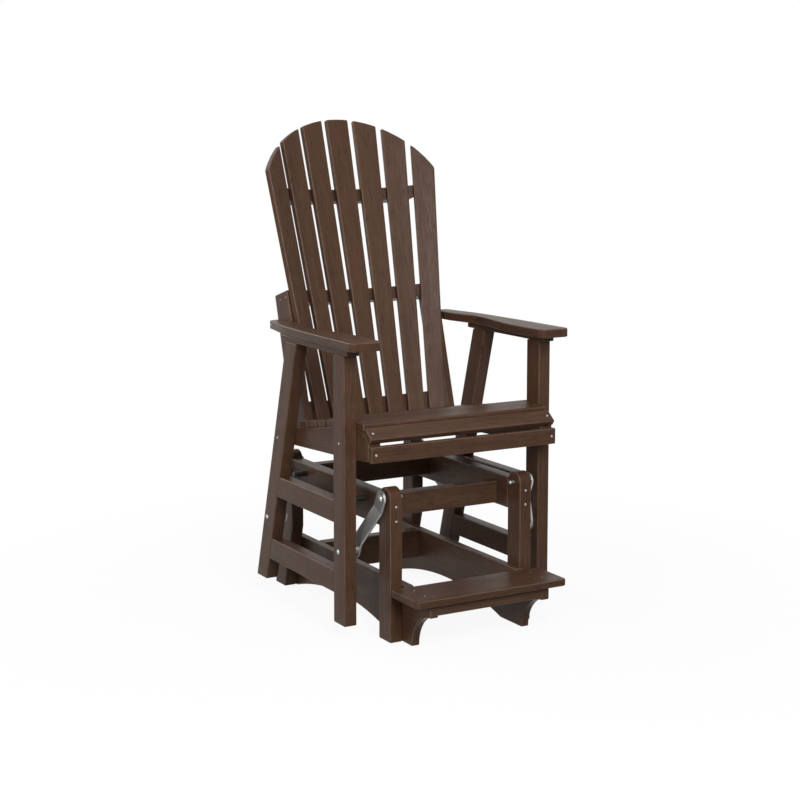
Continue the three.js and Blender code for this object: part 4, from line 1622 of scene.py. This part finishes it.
@dataclass
class Back:
    """The back: a fan of seven slats on three battens, between two stiles."""

    seat_frame: SeatFrame
    lean: float = math.radians(16.25)
    foot: Point = (0.475, 0.5148)
    contour: float = 0.643
    height: float = 0.9375
    arch: float = 0.3178
    count: int = 7
    thick: float = 0.0175
    bottom_width: float = 0.0496
    top_width: float = 0.0736
    bottom_spacing: float = 0.0646
    top_spacing: float = 0.0909
    slat_rows: int = 5
    slat_columns: int = 8
    upper_batten: float = 0.683
    upper_half: float = 0.226
    upper_depth: float = 0.036
    middle_batten: float = 0.373
    lower_batten: float = 0.0155
    lower_height: float = 0.0635
    stile_inner: float = 0.2324
    stile_width: float = 0.084
    stile_top: float = 0.4111
    stile_foot: float = 0.4826
    batten_roundover: float = 0.0026
    batten_steps: int = 20
    seed: int = 11

    @property
    def stile_front(self) -> float:
        """The stiles' front edges, which meet the backs of the outer slats."""
        behind = self.contour + self.thick
        return math.sqrt(behind**2 - self.stile_inner**2) - self.contour + STOCK.seam

    @property
    def stile_back(self) -> float:
        """The stiles' rear edges."""
        return self.stile_front + self.stile_width

    def place(self) -> Matrix:
        """The move from the back's leaned frame to the chair's, before FRONT is added."""
        return Matrix.Translation((0, *self.foot)) @ Matrix.Rotation(-self.lean, 4, "X")

    def spot(self, x: float, depth: float, height: float) -> Vector:
        """A place of the leaned frame, in the chair's own frame."""
        return self.place() @ Vector((x, depth, height)) + Vector((0, FRONT, 0))

    def build(self) -> None:
        """Builds slats, battens and stiles."""
        body, place = self.seat_frame.body, self.place()
        self.fan(body)
        between = self.stile_inner - STOCK.seam
        upper_back, lower_back = self.thick + self.upper_depth, self.stile_back - STOCK.middle
        battens = {
            "upper_back_batten": (self.upper_half, upper_back, self.upper_batten, STOCK.thick),
            "middle_back_rail": (between, self.stile_back, self.middle_batten, STOCK.thick),
            "lower_back_batten": (between, lower_back, self.lower_batten, self.lower_height),
        }
        for node, sizes in battens.items():
            fit_board(self.batten(*sizes), node, body, place)
        fit_pair(self.stile(), "back_stile", body, place)

    def fan(self, body: str) -> None:
        """Builds the seven slats as one fan."""
        width = (self.bottom_width + self.top_width) / 2
        outline = rectangle(-width / 2, width / 2, 0.0, self.height)
        slat = Board(outline, Plane.PLAN, -self.thick, 0.0, ALONG_Y, from_front=False)
        shape = slat.shape()
        rows = [(ALONG_Y, self.height * row / self.slat_rows) for row in range(1, self.slat_rows)]
        rows += [(ALONG_X, width * (row / self.slat_columns - 0.5)) for row in range(1, self.slat_columns)]
        for way, level in rows:
            cut_across(shape, way * level, way)
        fan = kept(shape, "fan_slats", Finish.LUMBER)
        sizes = {
            "Count": self.count,
            "Slat Width": width,
            "Height": self.height,
            "Bottom Width": self.bottom_width,
            "Top Width": self.top_width,
            "Bottom Spacing": self.bottom_spacing,
            "Top Spacing": self.top_spacing,
            "Arch Radius": self.arch,
            "Contour Radius": self.contour,
            "Lean": self.lean,
            "Foot": (0.0, self.foot[0] + FRONT, self.foot[1]),
            "Seed": self.seed,
            "Finish": Palette.made[Finish.LUMBER],
        }
        grown(fan, fan_group(), sizes)
        settled(fan, body, Finish.LUMBER, *[f"back_slat_{index + 1}" for index in range(self.count)])

    def batten(self, half: float, back: float, bottom: float, thick: float) -> Board:
        """A board across behind the slats, hollow in front and straight behind.

        Args:
            half: half its length.
            back: where its rear edge lies in the leaned frame.
            bottom: its lower face there.
            thick: its thickness.

        Returns:
            The board, drawn in the leaned frame.
        """
        steps = self.batten_steps
        behind = self.contour + self.thick + STOCK.seam
        reach = behind / math.cos(math.asin(half / behind) / steps)
        swing = math.degrees(math.asin(half / reach))
        front = arc((0.0, -self.contour), reach, 90 + swing, 90 - swing, steps)
        outline = [*front, (half, back), (-half, back)]
        return Board(outline, Plane.PLAN, bottom, bottom + thick, ALONG_X, roundover=self.batten_roundover)

    def stile(self) -> Board:
        """A side board of the back, cut level at its foot."""

        def cut(depth: float) -> float:
            """The height of the level cut at a depth, in the leaned frame."""
            return (self.stile_foot - self.foot[1] + depth * math.sin(self.lean)) / math.cos(self.lean)

        front, back = self.stile_front, self.stile_back
        outline = [(front, cut(front)), (back, cut(back)), (back, self.stile_top), (front, self.stile_top)]
        return Board(outline, Plane.SIDE, self.stile_inner, self.stile_inner + STOCK.middle, ALONG_Z)


# Screws


def screw_group() -> bpy.types.NodeTree:
    """Screw heads set on points, each turned its own way.

    Returns:
        A geometry tree for points that carry a facing direction.
    """
    inputs = {"Places": GEOMETRY, "Head": OBJECT, "Head Radius": FLOAT, "Seed": INT, "Finish": MATERIAL}
    tree = Tree.group("screw_heads", "GeometryNodeTree", inputs, {"Screws": GEOMETRY})
    head = tree.wire(tree.add("GeometryNodeObjectInfo", {"Object": tree.given("Head")}), "Geometry")
    facing = {"Vector": tree.named("facing", "FLOAT_VECTOR")}
    aligned = tree.add("FunctionNodeAlignRotationToVector", facing, axis="Z")
    turns = {2: 0.0, 3: math.pi / 2, "Seed": tree.given("Seed")}
    spin = tree.wire(tree.add("FunctionNodeRandomValue", turns, data_type="FLOAT"), 1)
    about = tree.add("FunctionNodeAxisAngleToRotation", {"Axis": (0, 0, 1), "Angle": spin})
    both = {"Rotation": tree.wire(aligned), "Rotate By": tree.wire(about)}
    turned_to = tree.add("FunctionNodeRotateRotation", both, rotation_space="LOCAL")
    size = tree.given("Head Radius") * tree.named("size_share", "FLOAT")
    row = {
        "Points": tree.given("Places"),
        "Instance": head,
        "Rotation": tree.wire(turned_to),
        "Scale": tree.vector(size, size, size),
    }
    copies = {"Geometry": tree.wire(tree.add("GeometryNodeInstanceOnPoints", row))}
    real = tree.wire(tree.add("GeometryNodeRealizeInstances", copies))
    return tree.result(Screws=tree.painted(real))


Spot = tuple[Vector, Vector, float]


@dataclass
class Screws:
    """Stainless screw heads, where the photograph shows them and where the slats are held."""

    base: Base
    seat_frame: SeatFrame
    seat: Seat
    back: Back
    radius: float = 0.0036
    rim: tuple[Point, ...] = ((0.0, 1.0), (0.12, 0.99), (0.22, 0.88))
    dome: float = 0.3
    dome_flat: float = 0.62
    socket: float = 0.4
    socket_depth: float = 0.16
    sunk: float = 0.0002
    facets: int = 20
    faint_share: float = 0.62
    arm_share: float = 0.4
    post_screws: Span = (0.3754, 0.3353)
    post_inset: float = 0.01905
    plank_side: float = 0.188
    plank_rows: Span = (-0.0584, -0.1143)
    leg_screws: tuple[Point, ...] = ((0.096, 0.5451), (0.4785, 0.4978))
    nose_side: float = 0.2807
    apron_side: float = 0.282
    front_side: float = 0.277
    front_run: float = 0.0772
    stile_height: float = 0.392
    stile_depths: Span = (0.0265, -0.0125)
    seed: int = 7

    def head(self) -> bpy.types.Object:
        """One screw head of radius 1: a low dome with a square socket, facing +Z."""
        bm = bmesh.new()
        corners = 4
        step = self.facets // corners
        profile = [*self.rim, (self.dome, self.dome_flat)]
        angles = [2 * math.pi * index / self.facets for index in range(self.facets)]
        rings = [[bm.verts.new((r * math.cos(a), r * math.sin(a), z)) for a in angles] for z, r in profile]
        for depth in (self.dome, self.dome - self.socket_depth):
            ring = []
            for index in range(self.facets):
                first = math.pi / 2 * (index // step)
                share = (index % step) / step
                one = Vector((math.cos(first), math.sin(first), 0)) * self.socket
                other = Vector((-math.sin(first), math.cos(first), 0)) * self.socket
                ring.append(bm.verts.new(one.lerp(other, share) + Vector((0, 0, depth))))
            rings.append(ring)
        for one, other in zip(rings, rings[1:]):
            for index in range(self.facets):
                after = (index + 1) % self.facets
                bm.faces.new([one[index], one[after], other[after], other[index]])
        bm.faces.new(rings[-1])
        bm.faces.new(reversed(rings[0]))
        bmesh.ops.recalc_face_normals(bm, faces=bm.faces)
        mark_board(bm, ALONG_X, Counter.next())
        mark_edges(bm)
        return kept(bm, "screw_head", Finish.DULL_STEEL)

    def base_places(self) -> list[Spot]:
        """Where the base's screws sit and face."""
        forward, upward = Vector((0, -1, 0)), ALONG_Z
        places = []
        for side in SIDES.values():
            x = side * (self.base.inner + self.post_inset)
            places += [(Vector((x, FRONT, z)), forward, 1.0) for z in self.post_screws]
            plank = side * self.plank_side
            top = self.base.footrest_top
            places += [(Vector((plank, y + FRONT, top)), upward, self.faint_share) for y in self.plank_rows]
        return places

    def seat_places(self) -> list[Spot]:
        """Where the seat frame's screws sit and face."""
        places = []
        top, foot = self.seat.nose()
        along = (foot - top).normalized()
        up = above(along)
        middle = foot + along * self.seat.nose_overhang - along * (self.seat.nose_width / 2)
        at = middle + up * (STOCK.seam + STOCK.thin)
        nose = Vector((0, at.x + FRONT, at.y))
        facing = Vector((0, up.x, up.y))
        apron = Vector((0, self.seat.rail_front - STOCK.seam - STOCK.thin + FRONT, self.apron_middle()))
        deep, over = self.front_spot()
        for side in SIDES.values():
            outward = Vector((side, 0, 0))
            for y, z in self.leg_screws:
                places.append((Vector((side * self.seat_frame.outer, y + FRONT, z)), outward, 1.0))
            places.append((nose + Vector((side * self.nose_side, 0, 0)), facing, 1.0))
            places.append((apron + Vector((side * self.apron_side, 0, 0)), Vector((0, -1, 0)), 1.0))
            places.append((deep + Vector((side * self.front_side, 0, 0)), over, self.faint_share))
            places.append(self.arm_spot(side))
            for depth in self.stile_depths:
                spot = self.back.spot(side * self.seat_frame.stile_outer, depth, self.stile_height)
                places.append((spot, outward, self.faint_share))
        return places + self.batten_places()

    def arm_spot(self, side: float) -> Spot:
        """The screw in an arm's outer edge near its rear end."""
        arm = self.seat_frame
        one, other = (Vector(arm.place_on_arm(share)) for share in arm.outer_shares[-2:])
        at, along = one.lerp(other, self.arm_share), (other - one).normalized()
        height = arm.leg_top + arm.cleat_height + arm.arm_thick / 2
        return Vector((side * at.x, at.y + FRONT, height)), Vector((side * along.y, -along.x, 0)), 1.0

    def front_spot(self) -> tuple[Vector, Vector]:
        """A place on the deep front slat's top face, at X = 0, and the way it faces."""
        start = self.seat.line()[-1]
        along = (self.seat.front_top() - start).normalized()
        up = above(along)
        at = start + along * self.front_run + up * (STOCK.seam + self.seat.front_thick)
        return Vector((0, at.x + FRONT, at.y)), Vector((0, up.x, up.y))

    def apron_middle(self) -> float:
        """The height of the apron's screws."""
        return self.seat.apron_top - self.seat.apron_height / 2

    def batten_places(self) -> list[Spot]:
        """Where the screws of the back slats sit, on the rear faces of the battens that reach them."""
        back = self.back
        backward = back.place().to_3x3() @ ALONG_Y
        rows = (
            (back.upper_batten + STOCK.thick / 2, back.thick + back.upper_depth, back.upper_half),
            (back.middle_batten + STOCK.thick / 2, back.stile_back, back.stile_inner),
            (back.lower_batten + back.lower_height / 2, back.stile_back - STOCK.middle, back.stile_inner),
        )
        places = []
        for height, depth, half in rows:
            share = height / back.height
            spacing = back.bottom_spacing + (back.top_spacing - back.bottom_spacing) * share
            for index in range(back.count):
                along = (index - (back.count - 1) / 2) * spacing
                x = (back.contour + back.thick) * math.sin(along / back.contour)
                if abs(x) > half - 2 * self.radius:
                    continue
                places.append((back.spot(x, depth, height), backward, 1.0))
        return places

    def build(self) -> None:
        """Sets the screw heads of both bodies."""
        head = self.head()
        group = screw_group()
        rows = ((self.base.body, self.base_places()), (self.seat_frame.body, self.seat_places()))
        for body, places in rows:
            name = f"{body}_screws"
            mesh = bpy.data.meshes.new(name)
            mesh.from_pydata([tuple(spot - facing * self.sunk) for spot, facing, _ in places], [], [])
            layer = mesh.attributes.new("facing", "FLOAT_VECTOR", "POINT")
            layer.data.foreach_set("vector", [part for _, facing, _ in places for part in facing])
            layer = mesh.attributes.new("size_share", "FLOAT", "POINT")
            layer.data.foreach_set("value", [share for _, _, share in places])
            steel = Palette.made[Finish.DULL_STEEL]
            sizes = {"Head": head, "Head Radius": self.radius, "Seed": self.seed, "Finish": steel}
            piece = grown(linked(name, mesh), group, sizes)
            piece.data.set_sharp_from_angle(angle=STOCK.screw_crease)
            settled(piece, body, Finish.DULL_STEEL)
        bpy.data.objects.remove(head)


# Studio


@dataclass(frozen=True)
class Lamp:
    """A large soft square lamp, with the length of its side and its power in watts."""

    name: str
    place: Point3
    side: float
    power: float
    colour: Point3

    def build(self, target: Vector) -> None:
        """Hangs the lamp.

        Args:
            target: the place that it points at.
        """
        data = bpy.data.lights.new(self.name, "AREA")
        data.shape = "SQUARE"
        data.size = self.side
        data.energy = self.power
        data.color = self.colour
        lamp = linked(self.name, data)
        lamp.location = self.place
        aim = target - Vector(self.place)
        lamp.rotation_euler = aim.to_track_quat("-Z", "Y").to_euler()


@dataclass(frozen=True)
class Studio:
    """The floor, the light and the camera."""

    floor_half: float = 30.0
    ambient: float = 0.11
    shadow_share: float = 0.08
    floor_bounce: float = 0.05
    floor_tone: float = 0.85
    floor_fade: Span = (0.5, 1.9)
    target: Point3 = (0.0, 0.0, 0.7)
    lamps: tuple[Lamp, ...] = (
        Lamp("key", (-1.25, -4.1, 2.9), 2.4, 226.0, (1.0, 1.0, 1.0)),
        Lamp("left_fill", (-4.4, -1.7, 1.6), 2.4, 100.0, (1.0, 0.98, 0.94)),
        Lamp("top", (0.3, -0.4, 3.8), 2.6, 20.0, (0.98, 0.99, 1.0)),
        Lamp("back_fill", (-1.6, 3.6, 2.6), 2.4, 65.0, (1.0, 0.98, 0.95)),
    )
    camera_place: Point3 = (-2.3749, -4.0906, 1.3945)
    camera_pitch: float = math.radians(6.68)
    camera_azimuth: float = math.radians(29.5)
    lens: float = 74.55
    sensor: float = 36.0
    far: float = 100.0
    shift: Point = (0.0119, -0.1)

    def build(self) -> None:
        """Builds the studio and sets the colour view."""
        bpy.context.scene.view_settings.view_transform = "Standard"
        self.world()
        self.floor()
        for lamp in self.lamps:
            lamp.build(Vector(self.target))
        self.camera()

    def world(self) -> None:
        """White where the camera, gloss and glass look past the chair, and dimmer as a light."""
        world = bpy.data.worlds.new("studio")
        bpy.context.scene.world = world
        tree = blank_tree(world)
        strength = self.seen(tree) * (1.0 - self.ambient) + self.ambient
        light = tree.add("ShaderNodeBackground", {"Color": (1, 1, 1, 1), "Strength": strength})
        tree.add("ShaderNodeOutputWorld", {"Surface": tree.wire(light)})

    @staticmethod
    def seen(tree: Tree) -> Wire:
        """A mask that is 1 where the camera, gloss or glass looks, and 0 for plain light.

        Args:
            tree: the material's or world's tree.

        Returns:
            The mask.
        """
        path = tree.add("ShaderNodeLightPath")
        mask = tree.wire(path, "Is Camera Ray")
        for kind in ("Is Glossy Ray", "Is Transmission Ray"):
            mask = tree.math("ADD", mask, tree.wire(path, kind), clamp=True)
        return mask

    def floor(self) -> None:
        """A pale floor that is white to the camera and keeps the chair's shadow."""
        mesh = bpy.data.meshes.new("floor")
        half = self.floor_half
        corners = [(-half, -half, 0), (half, -half, 0), (half, half, 0), (-half, half, 0)]
        mesh.from_pydata(corners, [], [(0, 1, 2, 3)])
        floor = linked("floor", mesh)
        material = bpy.data.materials.new("pale_floor")
        tree = blank_tree(material)
        seen = self.seen(tree)
        place = tree.wire(tree.add("ShaderNodeTexCoord"), "Object")
        away = tree.wire(tree.add("ShaderNodeVectorMath", {0: place}, operation="LENGTH"), "Value")
        near = tree.math("SUBTRACT", 1.0, tree.ramp(away, *self.floor_fade))
        white = tree.wire(tree.add("ShaderNodeEmission", {"Color": (1, 1, 1, 1), "Strength": 1.0}))
        tones = ((tone, tone, tone, 1) for tone in (self.floor_tone, self.floor_bounce))
        pale, dim = (tree.wire(tree.add("ShaderNodeBsdfDiffuse", {"Color": tone})) for tone in tones)
        shown = tree.wire(tree.add("ShaderNodeMixShader", {0: near * self.shadow_share, 1: white, 2: pale}))
        surface = tree.wire(tree.add("ShaderNodeMixShader", {0: seen, 1: dim, 2: shown}))
        tree.add("ShaderNodeOutputMaterial", {"Surface": surface})
        mesh.materials.append(material)

    def camera(self) -> None:
        """The photograph's camera."""
        data = bpy.data.cameras.new("camera")
        data.lens = self.lens
        data.sensor_width = self.sensor
        data.shift_x, data.shift_y = self.shift
        data.clip_end = self.far
        camera = linked("camera", data)
        camera.location = self.camera_place
        camera.rotation_euler = (math.pi / 2 - self.camera_pitch, 0.0, -self.camera_azimuth)
        bpy.context.scene.camera = camera


def main() -> None:
    """Builds the chair in order, then the studio."""
    logging.basicConfig(level=logging.INFO, format="%(name)s: %(message)s")
    Palette.build()
    base = Base()
    linkage = Linkage(base)
    seat_frame = SeatFrame(linkage)
    seat = Seat(seat_frame)
    back = Back(seat_frame)
    for assembly in (base, linkage, seat_frame, seat, back, Screws(base, seat_frame, seat, back)):
        log.info("building %s", type(assembly).__name__)
        assembly.build()
    Studio().build()


if __name__ == "__main__":
    main()
